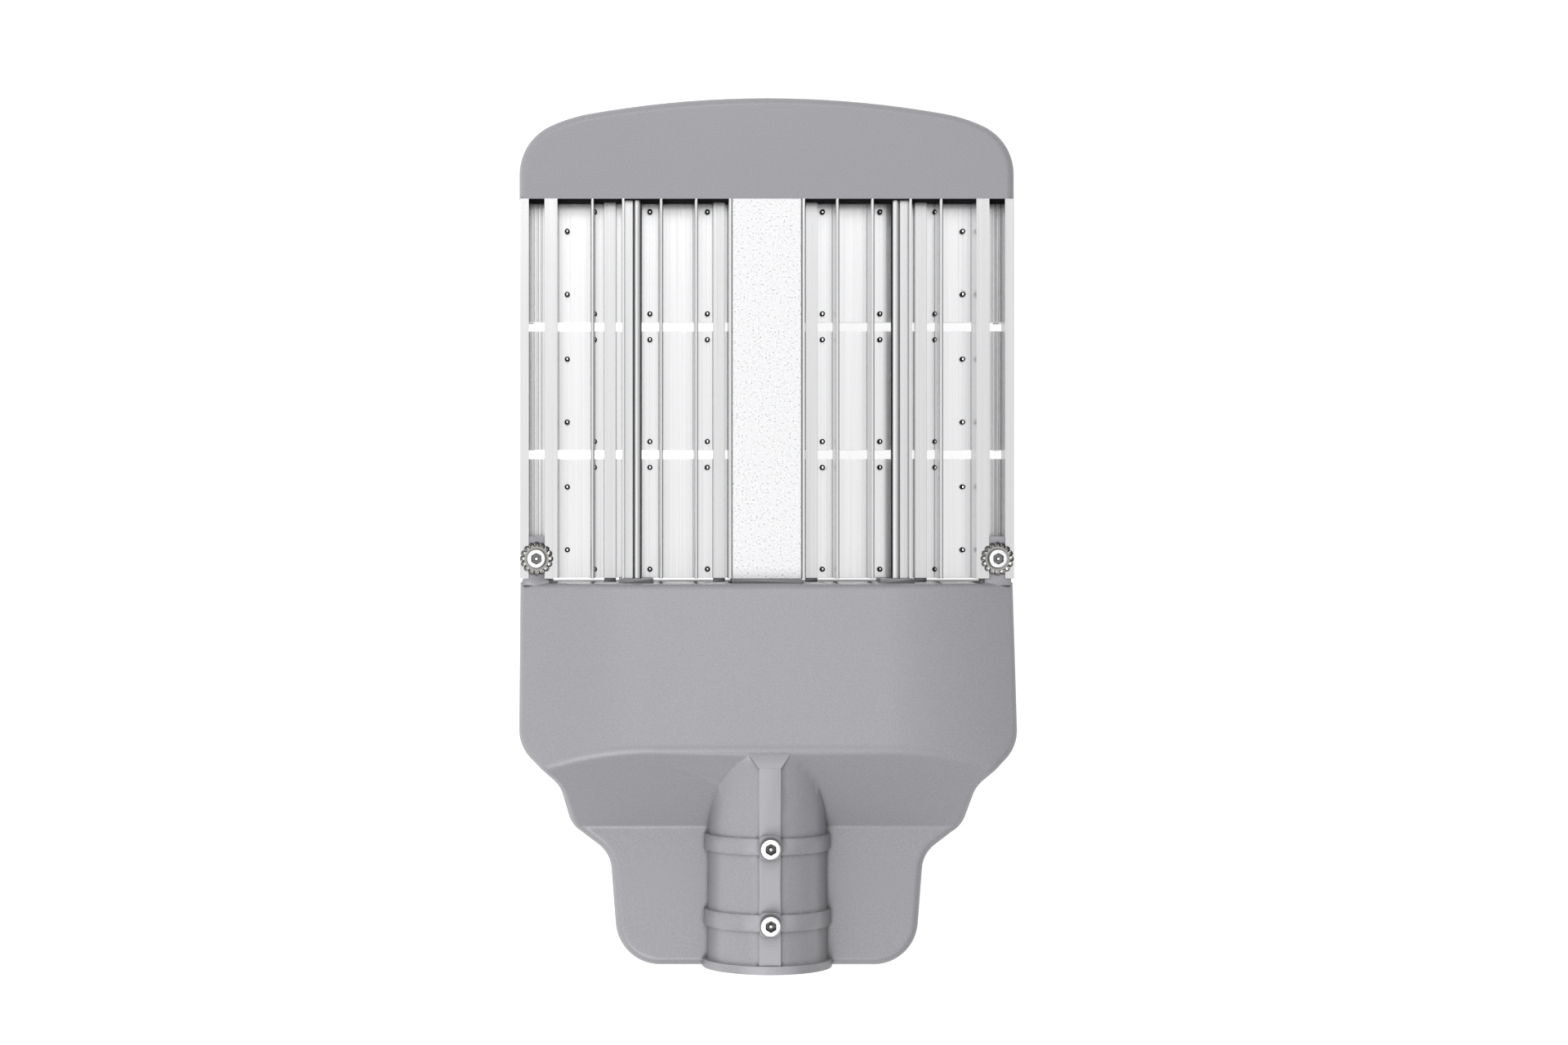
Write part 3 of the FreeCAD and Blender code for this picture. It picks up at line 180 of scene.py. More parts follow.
def grid_faces(rows, columns, wrap_rows=False, wrap_columns=False):
    """Quads of a grid: each joins (i, j), (i+1, j), (i+1, j+1), (i, j+1), round the end where it wraps."""
    i = np.arange(rows if wrap_rows else rows - 1)[:, None]
    j = np.arange(columns if wrap_columns else columns - 1)[None, :]
    below, beside = (i + 1) % rows, (j + 1) % columns
    corners = [i * columns + j, below * columns + j, below * columns + beside, i * columns + beside]
    return np.stack(np.broadcast_arrays(*corners), axis=-1).reshape(-1, 4)


def thread_cut(heights, pitch, sides, share):
    """Factors that cut a thread: 1 - share * w(z / p - a / 2 pi), with w a triangle wave from 0 to 1."""
    turn = np.arange(sides) / sides
    wave = np.abs(((heights[:, None] / pitch - turn[None]) % 1.0) * 2 - 1)
    return (1 - wave * share)[..., None]


def repeated(points, faces, places):
    """The same grid at every place: points plus each place, and faces shifted by the count of points."""
    count = points.shape[0] * points.shape[1]
    moved = points[None] + places[:, None, None, :]
    shifted = faces[None] + (np.arange(len(places)) * count)[:, None, None]
    return moved.reshape(-1, 3), shifted.reshape(-1, 4)


def turned(profile, sides, shape=None):
    """A profile of (radius, height) carried round the Z axis.

    Row k at angle a has radius r_k * s_k(a), where s_k mixes a circle with a hexagon by the share shape_k.
    The hexagon's radius at angle a is 1 / cos(a') with a' the angle to the nearest middle of a side.
    """
    angle = 2 * np.pi * np.arange(sides) / sides
    nearest = (angle + np.pi / 6) % (np.pi / 3) - np.pi / 6
    hexagon = 1 / np.cos(nearest)
    share = np.zeros(len(profile)) if shape is None else np.asarray(shape, float)
    radius = profile[:, :1] * (1 + share[:, None] * (hexagon[None] - 1))
    height = np.broadcast_to(profile[:, 1:], radius.shape)
    return np.stack([radius * np.cos(angle), radius * np.sin(angle), height], axis=-1)


def closed_poles(piece):
    """Merges the points that fall together at the poles of a turned surface."""
    work = bmesh.new()
    work.from_mesh(piece.data)
    bmesh.ops.remove_doubles(work, verts=work.verts, dist=1e-7)
    work.to_mesh(piece.data)
    work.free()
    return piece


def closed_ends(piece):
    """Closes the open ends of its tubes and turns the faces outwards."""
    work = bmesh.new()
    work.from_mesh(piece.data)
    bmesh.ops.holes_fill(work, edges=[edge for edge in work.edges if edge.is_boundary], sides=0)
    bmesh.ops.recalc_face_normals(work, faces=work.faces)
    work.to_mesh(piece.data)
    work.free()
    return piece


def crisp_ends(mesh, limit, facing=-0.99999):
    """Marks as sharp the edges round the flat faces that look back along Y and lie behind a limit."""
    normals, middles = np.empty((2, 3 * len(mesh.polygons)), np.float32)
    edges, sharp = np.empty(len(mesh.loops), np.int32), np.empty(len(mesh.edges), bool)
    mesh.polygons.foreach_get("normal", normals)
    mesh.polygons.foreach_get("center", middles)
    mesh.loops.foreach_get("edge_index", edges)
    flat = (normals[1::3] < facing) & (middles[1::3] < limit)
    inside = np.bincount(edges, np.repeat(flat, 3), len(sharp))
    border = (inside > 0) & (inside < np.bincount(edges, minlength=len(sharp)))
    marks = mesh.attributes["sharp_edge"].data
    marks.foreach_get("value", sharp)
    marks.foreach_set("value", sharp | border)


def smooth_copy(name, crease=math.radians(19), end_depth=8 * MM):
    """A merged copy of a CAD node with soft shading over its curved faces, which stands for the node.

    Edges stay sharp past the angle crease and, within end_depth of the lowest Y, round flat faces.
    """
    work = bmesh.new()
    work.from_mesh(NODES[name].data)
    bmesh.ops.remove_doubles(work, verts=work.verts, dist=2e-6)
    mesh = bpy.data.meshes.new(name + "_shell")
    work.to_mesh(mesh)
    work.free()
    mesh.polygons.foreach_set("use_smooth", np.ones(len(mesh.polygons), bool))
    mesh.set_sharp_from_angle(angle=crease)
    crisp_ends(mesh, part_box(name)[0].y + end_depth)
    piece = bpy.data.objects.new(name + "_shell", mesh)
    bpy.context.scene.collection.objects.link(piece)
    weighted = piece.modifiers.new("Face weights", "WEIGHTED_NORMAL")
    weighted.weight = 100
    weighted.keep_sharp = True
    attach(piece, "root")
    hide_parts(name)
    return piece


# Materials


class Finish:
    """A material with its nodes: colour, grain and relief all read Object coordinates."""

    def __init__(self, name, colour, roughness, metallic=0.0, specular=0.5):
        self.material = bpy.data.materials.new(name)
        self.material.use_nodes = True
        self.tree = self.material.node_tree
        self.shader = self.tree.nodes["Principled BSDF"]
        self.set("Base Color", (*colour, 1.0))
        self.set("Roughness", roughness)
        self.set("Metallic", metallic)
        self.set("Specular IOR Level", specular)
        self.place = self.node("ShaderNodeTexCoord").outputs["Object"]
        self.normal = None

    def set(self, socket, value):
        """A value on a socket of the shader itself."""
        self.shader.inputs[socket].default_value = value

    def node(self, kind, **values):
        """A new node, with each value put on the node's setting or else on its socket of that name."""
        made = self.tree.nodes.new(kind)
        for key, value in values.items():
            if hasattr(made, key):
                setattr(made, key, value)
            else:
                made.inputs[key].default_value = value
        return made

    def link(self, start, end):
        self.tree.links.new(start, end)

    def mapped(self, scale):
        """Object coordinates stretched by a scale for each axis."""
        mapping = self.node("ShaderNodeMapping", Scale=scale)
        self.link(self.place, mapping.inputs["Vector"])
        return mapping.outputs["Vector"]

    def noise(self, scale, detail=2.0, vector=None, roughness=0.55):
        """Noise with so many grains to the metre."""
        made = self.node("ShaderNodeTexNoise", Scale=scale, Detail=detail, Roughness=roughness)
        self.link(vector or self.place, made.inputs["Vector"])
        return made.outputs["Fac"]

    def ramp(self, value, stops):
        """Colours or levels along a value, as (position, grey or colour)."""
        made = self.node("ShaderNodeValToRGB")
        while len(made.color_ramp.elements) < len(stops):
            made.color_ramp.elements.new(0.5)
        for element, (position, level) in zip(made.color_ramp.elements, stops):
            element.position = position
            element.color = (*level, 1.0) if isinstance(level, tuple) else (level, level, level, 1.0)
        self.link(value, made.inputs["Fac"])
        return made.outputs["Color"]

    def mix(self, factor, a, b, blend="MIX"):
        """Blends from a to b by a factor; each is an output, a colour or a level."""
        made = self.node("ShaderNodeMix", data_type="RGBA", blend_type=blend)
        for socket, value in ((made.inputs[0], factor), (made.inputs[6], a), (made.inputs[7], b)):
            if hasattr(value, "is_output"):
                self.link(value, socket)
            elif isinstance(value, tuple):
                socket.default_value = (*value, 1.0)
            else:
                socket.default_value = value
        return made.outputs[2]

    def times(self, tone, level):
        """A tone darkened by a level."""
        return self.mix(1.0, tone, level, "MULTIPLY")

    def round_edges(self, radius):
        """Turns the normal near sharp edges, as a radius would."""
        self.normal = self.node("ShaderNodeBevel", samples=4, Radius=radius).outputs["Normal"]

    def rims(self, start, end):
        """Levels from 0 on flat faces to 1 along sharp edges, where the rounded normal leaves the face's."""
        both = self.node("ShaderNodeVectorMath", operation="DOT_PRODUCT")
        self.link(self.normal, both.inputs[0])
        self.link(self.node("ShaderNodeNewGeometry").outputs["Normal"], both.inputs[1])
        return self.ramp(both.outputs["Value"], [(start, 1.0), (end, 0.0)])

    def painted_hollow_shade(self, distance, low, start=0.3, end=0.9):
        """Painted shade: grey levels that fall to low in corners and hollows narrower than a distance."""
        open_sky = self.node("ShaderNodeAmbientOcclusion", samples=6, Distance=distance)
        return self.ramp(open_sky.outputs["AO"], [(start, low), (end, 1.0)])

    def painted_wall_shade(self, low, start=0.25, end=0.85):
        """Painted shade: grey levels that fall to low on upright faces."""
        parts = self.node("ShaderNodeSeparateXYZ")
        self.link(self.node("ShaderNodeNewGeometry").outputs["Normal"], parts.inputs[0])
        level = self.node("ShaderNodeMath", operation="ABSOLUTE")
        self.link(parts.outputs["Z"], level.inputs[0])
        return self.ramp(level.outputs["Value"], [(start, low), (end, 1.0)])

    def along(self, axis, start, end):
        """Levels from 0 at a place start to 1 at a place end along an axis."""
        parts = self.node("ShaderNodeSeparateXYZ")
        self.link(self.place, parts.inputs[0])
        range_of = self.node("ShaderNodeMapRange")
        for socket, value in zip(("From Min", "From Max"), (start, end)):
            range_of.inputs[socket].default_value = value
        self.link(parts.outputs[axis], range_of.inputs["Value"])
        return range_of.outputs["Result"]

    def relief(self, height, distance, strength):
        """Bumps that stand out by a distance, on top of the rounded edges if there are any."""
        bump = self.node("ShaderNodeBump", Strength=strength, Distance=distance)
        self.link(height, bump.inputs["Height"])
        if self.normal is not None:
            self.link(self.normal, bump.inputs["Normal"])
        self.normal = bump.outputs["Normal"]

    def done(self):
        """Joins the normal to the shader and gives the material."""
        if self.normal is not None:
            self.link(self.normal, self.shader.inputs["Normal"])
        return self.material


def shade(colour, factor):
    """A colour made lighter or darker by a factor, at most 1."""
    return tuple(min(1.0, c * factor) for c in colour)


def cast_paint(finish):
    """Silver grey powder coat: fine grain in colour and relief, and faint broad clouds.

    It carries painted light: a painted highlight towards the top of the socket's rib and along sharp
    edges, and painted shade in corners and on walls.
    """
    colour = tuple(finish.paint)
    made = Finish("cast_paint", colour, finish.paint_roughness, specular=0.6)
    grain = made.noise(1 / finish.paint_grain, detail=3.0)
    clouds = made.noise(9.0, detail=3.0)
    grained = made.ramp(grain, [(0.30, shade(colour, 0.87)), (0.5, colour), (0.72, shade(colour, 1.13))])
    broad = made.ramp(clouds, [(0.3, 0.965), (0.7, 1.0)])
    made.round_edges(finish.cast_rounding)
    painted = made.times(grained, broad)
    # Painted highlight: the paint grows lighter up the socket's rib
    height_painted_light = made.mix(made.along("Z", RIB_LOW, RIB_TOP), painted, shade(colour, 1.22))
    # Painted highlight along sharp edges
    edge_highlighted = made.mix(made.rims(0.84, 0.985), height_painted_light, shade(colour, 1.6))
    # Painted shade in corners and hollows
    shaded = made.times(edge_highlighted, made.painted_hollow_shade(3 * MM, 0.35, 0.35, 0.85))
    # Painted shade on upright walls
    made.link(made.times(shaded, made.painted_wall_shade(0.62, 0.1, 0.6)), made.shader.inputs["Base Color"])
    made.relief(grain, 0.05 * MM, 0.55)
    return made.done()


def extruded_aluminium(finish):
    """Natural anodised extrusion: die lines along Y in colour, gloss and relief.

    It carries painted shade on faces that stand above the base, on walls and in narrow gaps.
    """
    colour = tuple(finish.aluminium)
    made = Finish("extruded_aluminium", colour, 0.34, metallic=1.0)
    lines = made.noise(1.0, detail=3.0, vector=made.mapped((1400.0, 3.0, 1400.0)))
    fine = made.noise(1.0, detail=2.0, vector=made.mapped((5200.0, 12.0, 5200.0)))
    tone = made.ramp(lines, [(0.28, shade(colour, 0.90)), (0.5, colour), (0.8, shade(colour, 1.03))])
    # Painted shade on faces above the base, on walls and in narrow gaps
    height_painted_light = made.ramp(made.along("Z", BASE_TOP, RAISED_TOP), [(0.0, 1.0), (1.0, 0.85)])
    for level in (height_painted_light, made.painted_wall_shade(0.62, 0.4, 0.92), made.painted_hollow_shade(0.9 * MM, 0.12, 0.40, 0.80)):
        tone = made.times(tone, level)
    made.link(tone, made.shader.inputs["Base Color"])
    made.link(made.ramp(fine, [(0.3, 0.17), (0.7, 0.27)]), made.shader.inputs["Roughness"])
    made.round_edges(0.25 * MM)
    made.relief(lines, 0.03 * MM, 0.4)
    return made.done()


def blasted_aluminium(finish):
    """The centre strip: blasted and clear anodised, with dark and bright specks."""
    colour = tuple(finish.strip)
    made = Finish("blasted_aluminium", colour, 0.5, metallic=0.55)
    specks = made.noise(900.0, detail=2.0, roughness=0.6)
    dark, bright = shade(colour, 0.45), (1.0, 1.0, 1.0)
    tone = made.ramp(specks, [(0.33, dark), (0.40, colour), (0.62, colour), (0.72, bright)])
    made.link(tone, made.shader.inputs["Base Color"])
    made.round_edges(0.3 * MM)
    made.relief(specks, 0.06 * MM, 0.6)
    return made.done()


def stainless(finish, name, factor, roughness, hollow=0.0, tilt=(0.25, 0.85)):
    """Turned stainless steel with fine marks of wear.

    Given a distance hollow, it carries painted shade in hollows narrower than that and on slanted faces,
    from full tone to dark as the upright part of the normal falls through the range tilt.
    """
    colour = shade(tuple(finish.steel), factor)
    made = Finish(name, colour, roughness, metallic=1.0)
    marks = made.noise(2600.0, detail=3.0)
    tone = made.ramp(marks, [(0.3, shade(colour, 0.86)), (0.7, colour)])
    # Painted shade in hollows and on slanted faces
    if hollow:
        tone = made.times(tone, made.painted_hollow_shade(hollow, 0.04, 0.35, 0.95))
        tone = made.times(tone, made.painted_wall_shade(0.2, *tilt))
    made.link(tone, made.shader.inputs["Base Color"])
    gloss = made.ramp(marks, [(0.3, roughness * 0.8), (0.7, roughness * 1.5)])
    made.link(gloss, made.shader.inputs["Roughness"])
    made.relief(marks, 0.01 * MM, 0.4)
    return made.done()


def clear_plastic():
    """Clear polycarbonate of the lens plates."""
    made = Finish("lens_plastic", (0.97, 0.985, 1.0), 0.08)
    made.set("Transmission Weight", 1.0)
    made.set("IOR", 1.49)
    return made.done()


def speckled(name, colour, roughness, metallic=0.0, grain=900.0, depth=0.02 * MM, specular=0.5):
    """A plain finish with a fine grain, for boards, trays, rubber, the cap's dark rear wall and cases."""
    made = Finish(name, colour, roughness, metallic, specular)
    marks = made.noise(grain, detail=3.0)
    made.link(made.ramp(marks, [(0.3, shade(colour, 0.9)), (0.7, shade(colour, 1.06))]),
              made.shader.inputs["Base Color"])
    made.relief(marks, depth, 0.5)
    return made.done()


def dress(piece, *materials):
    """Puts the materials on a piece, in place of any it has."""
    piece.data.materials.clear()
    for material in materials:
        piece.data.materials.append(material)


def dress_two(piece, first, second, is_second):
    """Puts two materials on a piece: the second on the faces that a whole array names."""
    dress(piece, first, second)
    piece.data.polygons.foreach_set("material_index", is_second.astype(np.int32))


# Pieces


def section_centres():
    """Middles of the heatsink's sections along Y, and their length: equal thirds with two slots between."""
    low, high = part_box("heatsink_right")
    length = (high.y - low.y - 2 * SAW_WIDTH) / 3
    return low.y + length / 2 + np.arange(3) * (length + SAW_WIDTH), length


def module_screw_places():
    """Six screws in three columns on each module and two near its outer end, on both halves of the lamp."""
    middles, length = section_centres()
    columns, outer_column = (35.5 * MM, 71.0 * MM, 105.2 * MM), 122.0 * MM
    side, end = length / 2 - 5.2 * MM, length / 2 - 17.2 * MM
    one = np.array([(x, s * side) for x in columns for s in (-1, 1)]
                   + [(outer_column, s * end) for s in (-1, 1)])
    right = one[None] + np.stack([np.zeros(3), middles], axis=1)[:, None]
    right = right.reshape(-1, 2)
    both = np.concatenate([right, right * (-1, 1)])
    return np.concatenate([both, np.zeros((len(both), 1))], axis=1)


def make_castings(finish):
    """Housing and cap: the CAD's form with soft shading and the powder coat.

    The cap's rear wall, whose faces have their middles at its lowest Y, is nearly black and dull.
    """
    paint = cast_paint(finish)
    dark_rear_wall = speckled("dark_rear_wall", (0.012, 0.012, 0.014), 0.95, grain=600.0, specular=0.05)
    for name in ("rear_housing", "front_cap"):
        piece = smooth_copy(name)
        middles = np.empty(3 * len(piece.data.polygons), np.float32)
        piece.data.polygons.foreach_get("center", middles)
        at_rear = middles[1::3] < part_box(name)[0].y + 0.2 * MM
        dress_two(piece, paint, dark_rear_wall, at_rear & (name == "front_cap"))
    make_rib_ramp(paint)


def make_rib_ramp(paint):
    """The ramp that leads up to the rib of the socket, wide at its foot and as wide as the rib at its top.

    At share s along it, half its width, its place along Y, its upper and its lower level all change straight
    from their values at the foot to those at the top.
    """
    rows = 6
    foot = np.array([12.75, 131.4, 33.62, 31.5]) * MM
    top = np.array([6.8, 122.9, 38.04, 34.0]) * MM
    half, along, high, low = (foot + np.linspace(0, 1, rows)[:, None] * (top - foot)).T
    corners = ((-half, along, high), (half, along, high), (half, along, low), (-half, along, low))
    points = np.stack([np.stack(corner, axis=-1) for corner in corners], axis=1)
    faces = grid_faces(rows, len(corners), wrap_columns=True)
    piece = closed_ends(add_piece("rib_ramp", points, faces, smooth=False))
    dress(piece, paint)


def make_extrusions(finish):
    """Both heatsinks, the wireway and its cover strip."""
    plain, blasted = extruded_aluminium(finish), blasted_aluminium(finish)
    for name in ("heatsink_left", "heatsink_right", "wireway"):
        dress(NODES[name], plain)
    dress(NODES["wireway_cover"], blasted)


def make_module_screws(finish, sizes):
    """Module screws: a tip with its thread cut as a helix, a plain shank and a hexagon head.

    On the threaded rows the radius is R - d * w(z / p - a / 2 pi), where w is a triangle wave, p the pitch
    and a the angle round the screw. The other rows are a turned profile.
    """
    low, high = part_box("module_screws")
    pitch, radius, depth, sides = sizes.thread_pitch, 1.5 * MM, 0.30 * MM, 18
    shank, head = 1.4 * MM, 2.75 * MM
    top, bottom = high.z, low.z
    thread_top, thread_end = top - 0.3 * MM, top - 5.5 * MM
    rows_per_turn = 5
    count = int(round((thread_top - thread_end) / pitch * rows_per_turn))
    heights = np.linspace(thread_top, thread_end, count)
    tip = np.array([(0.0, top), (0.72 * MM, top), (0.8 * MM, top - 0.1 * MM), (1.3 * MM, top - 0.2 * MM)])
    thread = np.stack([np.full(count, radius), heights], axis=1)
    seat = bottom + 2.0 * MM
    rest = np.array([(shank, thread_end - 0.2 * MM), (shank, seat), (head, seat),
                     (head, bottom + 0.4 * MM), (head - 0.3 * MM, bottom), (0.0, bottom)])
    profile = np.concatenate([tip, thread, rest])
    shape = np.concatenate([np.zeros(len(tip) + count + 2), [1.0, 1.0, 0.4, 0.0]])
    points = turned(profile, sides, shape)
    rows = slice(len(tip), len(tip) + count)
    points[rows, :, :2] *= thread_cut(heights, pitch, sides, depth / radius)
    faces = grid_faces(len(profile), sides, wrap_columns=True)[:, ::-1]
    places = module_screw_places()
    piece = add_piece("module_screw_set", *repeated(points, faces, places))
    row = np.tile(np.arange(len(faces)) // sides, len(places))
    # Lit and shaded copies of the steel: a painted highlight on the tip's end, painted shade on the thread
    bright, dark = stainless(finish, "screw_end_painted_highlight", 1.33, 0.2), stainless(finish, "screw_thread_painted_shade", 0.04, 0.5)
    dress_two(piece, bright, dark, (row >= 1) & (row < rows.stop))
    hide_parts("module_screws")
    make_swarf(finish, sizes, places, top)


def make_swarf(finish, sizes, places, top):
    """Curls of swarf that hang on some screw tips.

    The path is a spiral whose radius grows with the angle a from the screw's own radius, and which sinks as
    it goes; the section is a circle that shrinks to a point at the end of the path.
    """
    seed, along, around = 11, 22, 6
    rng = np.random.default_rng(seed)
    chosen = np.sort(rng.choice(len(places), sizes.swarf, replace=False))
    s = np.linspace(0, 1, along)
    beta = 2 * np.pi * np.arange(around) / around
    turn, start = rng.uniform(2.0, 4.2, len(chosen)), rng.uniform(0, 2 * np.pi, len(chosen))
    grow, thick = rng.uniform(0.5, 1.5, len(chosen)) * MM, rng.uniform(0.10, 0.17, len(chosen)) * MM
    a = start[:, None] + turn[:, None] * s
    section = thick[:, None, None] * (1.02 - s[None, :, None] ** 3)
    radius = (1.45 * MM + grow[:, None] * s ** 2)[..., None] + section * np.cos(beta)
    points = np.stack([radius * np.cos(a)[..., None], radius * np.sin(a)[..., None],
                       top - (0.9 + 1.2 * s[None, :, None]) * MM + section * np.sin(beta)], axis=-1)
    points[..., :2] += places[chosen][:, None, None, :2]
    faces = grid_faces(along, around, wrap_columns=True)
    many = faces[None] + (np.arange(len(chosen)) * along * around)[:, None, None]
    piece = closed_ends(add_piece("swarf_curls", points.reshape(-1, 3), many.reshape(-1, 4)))
    dress(piece, stainless(finish, "swarf", 0.25, 0.4))


def make_tooth_washers(finish, sizes):
    """Lock washers with twisted teeth.

    The ring is a rounded rectangle carried round the axis. Tooth k is a sheet over radius r and sideways
    step s, turned to its angle; its height is s * tan(twist) * t^0.6 with t from 0 at the root to 1 at the
    tip. A tooth bulges in the middle of its length, and its tip is rounded.
    """
    # Painted shade in the gaps and on the slanted parts of the teeth
    steel = stainless(finish, "washer_steel", 0.70, 0.20, hollow=2.5 * MM, tilt=(0.86, 0.985))
    for side in SIDES:
        node = "tooth_washer_" + side
        low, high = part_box(node)
        x, y, base = (low.x + high.x) / 2, (low.y + high.y) / 2, low.z
        thick = high.z - low.z
        inner, root, tip = 3.3 * MM, 7.7 * MM, 10.0 * MM
        edge, overlap, sides = 0.2 * MM, 0.5 * MM, 64
        loop = np.array([(inner + edge, 0), (root - edge, 0), (root, edge), (root, thick - edge),
                         (root - edge, thick), (inner + edge, thick), (inner, thick - edge), (inner, edge)])
        ring = turned(loop, sides) + (x, y, base)
        ring_faces = grid_faces(len(loop), sides, wrap_rows=True, wrap_columns=True)
        t = np.linspace(0, 1, 8)
        s = np.linspace(-1, 1, 9)
        width = (1.15 + 0.45 * np.sin(np.pi * t ** 0.8)) * MM
        radius = root - overlap + t * (tip - root + overlap)
        r, w = np.meshgrid(radius, s, indexing="ij")
        across = w * width[:, None]
        r = r - 0.5 * MM * w ** 2 * t[:, None] ** 2
        lift = across * np.tan(sizes.tooth_twist) * t[:, None] ** 0.6
        k = 2 * np.pi * np.arange(sizes.teeth) / sizes.teeth
        cos, sin = np.cos(k)[:, None, None], np.sin(k)[:, None, None]
        sheet = np.stack([r * cos - across * sin, r * sin + across * cos,
                          np.broadcast_to(lift + thick / 2, (sizes.teeth, *r.shape))], axis=-1)
        sheet = sheet + (x, y, base)
        faces = grid_faces(len(t), len(s))
        many = faces[None] + (np.arange(sizes.teeth) * len(t) * len(s))[:, None, None]
        teeth = add_piece("lock_teeth_" + side, sheet, many)
        wall = teeth.modifiers.new("Sheet thickness", "SOLIDIFY")
        wall.thickness, wall.offset = thick * 0.8, 0.0
        dress(teeth, steel)
        piece = add_piece("lock_ring_" + side, ring, ring_faces, smooth=False)
        dress(piece, steel)
        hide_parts(node)


def socket_head(sides, head, head_height, key, shank, tip_drop, edge, pitch):
    """Points and faces of a hexagon socket head screw, with its seat at height 0.

    The profile runs from the pin in the socket up the hexagon's wall, over the rounded head and down a
    threaded shank. The wall's rows are all hexagon, the head's are round, and the chamfer between is mixed.
    """
    deep = head_height * 0.45
    flat = key / 2
    turn = np.linspace(0, np.pi / 2, 6)[1:]
    pin = head_height - 0.9 * MM
    socket = [(0.0, pin), (0.85 * MM, pin), (1.05 * MM, pin - 0.2 * MM), (1.05 * MM, deep),
              (flat * 0.98, deep), (flat, deep + 0.1 * MM), (flat, head_height - 0.2 * MM),
              (flat + 0.2 * MM, head_height)]
    top = [(head - edge - 0.3 * MM, head_height), (head - edge, head_height)]
    corner = [(head - edge + edge * np.sin(a), head_height - edge + edge * np.cos(a)) for a in turn]
    side = [(head, 0.25 * MM), (head - 0.25 * MM, 0.0), (shank, 0.0)]
    rows_per_turn, threaded = 4, tip_drop - 1.0 * MM
    count = int(threaded / pitch * rows_per_turn)
    thread = [(shank, -0.5 * MM - threaded * (k / count)) for k in range(count + 1)]
    end = [(shank * 0.75, -tip_drop), (0.0, -tip_drop)]
    profile = np.array(socket + top + corner + side + thread + end)
    shape = np.zeros(len(profile))
    shape[4:7] = 1.0
    shape[7] = 0.6
    points = turned(profile, sides, shape)
    first = len(socket + top + corner + side)
    rows = slice(first, first + len(thread))
    points[rows, :, :2] *= thread_cut(profile[rows, 1], pitch, sides, 0.14)
    faces = grid_faces(len(profile), sides, wrap_columns=True)[:, ::-1]
    return points, faces


def make_socket_screws(finish, sizes):
    """The arm bolts and the side bolts: socket head screws with cut threads.

    A bolt's sizes are the radius and the height of its head, the key's width and the radius of its shank.
    """
    # Painted shade in the socket and hollows
    steel = stainless(finish, "bolt_steel", 1.5, 0.22, hollow=4.0 * MM)
    arm, side, pitch = (6.0, 8.0, 6.0, 4.0), (5.6, 5.0, 6.0, 3.0), 1.0 * MM
    bolts = {"arm_bolt_rear": arm, "arm_bolt_front": arm, "side_bolt_left": side, "side_bolt_right": side}
    for name, (head, tall, key, shank) in bolts.items():
        low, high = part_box(name)
        seat = high.z - tall * MM
        points, faces = socket_head(72, head * MM, tall * MM, key * MM, shank * MM, seat - low.z,
                                    sizes.head_edge, pitch)
        points = points + ((low.x + high.x) / 2, (low.y + high.y) / 2, seat)
        piece = closed_poles(add_piece(name + "_screw", points, faces))
        piece.data.set_sharp_from_angle(angle=SHARP)
        dress(piece, steel)
        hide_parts(name)


MODULE_HALF = section_centres()[1] / 2 - 1.65 * MM


def module_outline(x):
    """Half the module's length at a place x: full, then falling along the chamfer to the outer edge."""
    return MODULE_HALF - np.clip((x - (MODULE_OUTER - CHAMFER_X)) / CHAMFER_X, 0, 1) * CHAMFER_Y


def dome_field(x, y, middles, half, power):
    """Height of the lens at a place, as a share: (1 - |x/a|^p - |y/b|^p)^(1/p), and 0 outside its outline."""
    height = np.zeros_like(x)
    for cx, cy in middles:
        inside = 1 - np.abs((x - cx) / half[0]) ** power - np.abs((y - cy) / half[1]) ** power
        height = np.maximum(height, np.clip(inside, 0, None) ** (1 / power))
    return height


def lens_middles():
    """Centres of the four by three lenses of a module on the right, with its middle at Y = 0."""
    inset, across, lengthwise = 10.3 * MM, 4, 3
    width, depth = MODULE_OUTER - MODULE_INNER - 2 * inset, 2 * (MODULE_HALF - inset)
    return [(MODULE_INNER + inset + (i + 0.5) * width / across, -depth / 2 + (j + 0.5) * depth / lengthwise)
            for i in range(across) for j in range(lengthwise)]


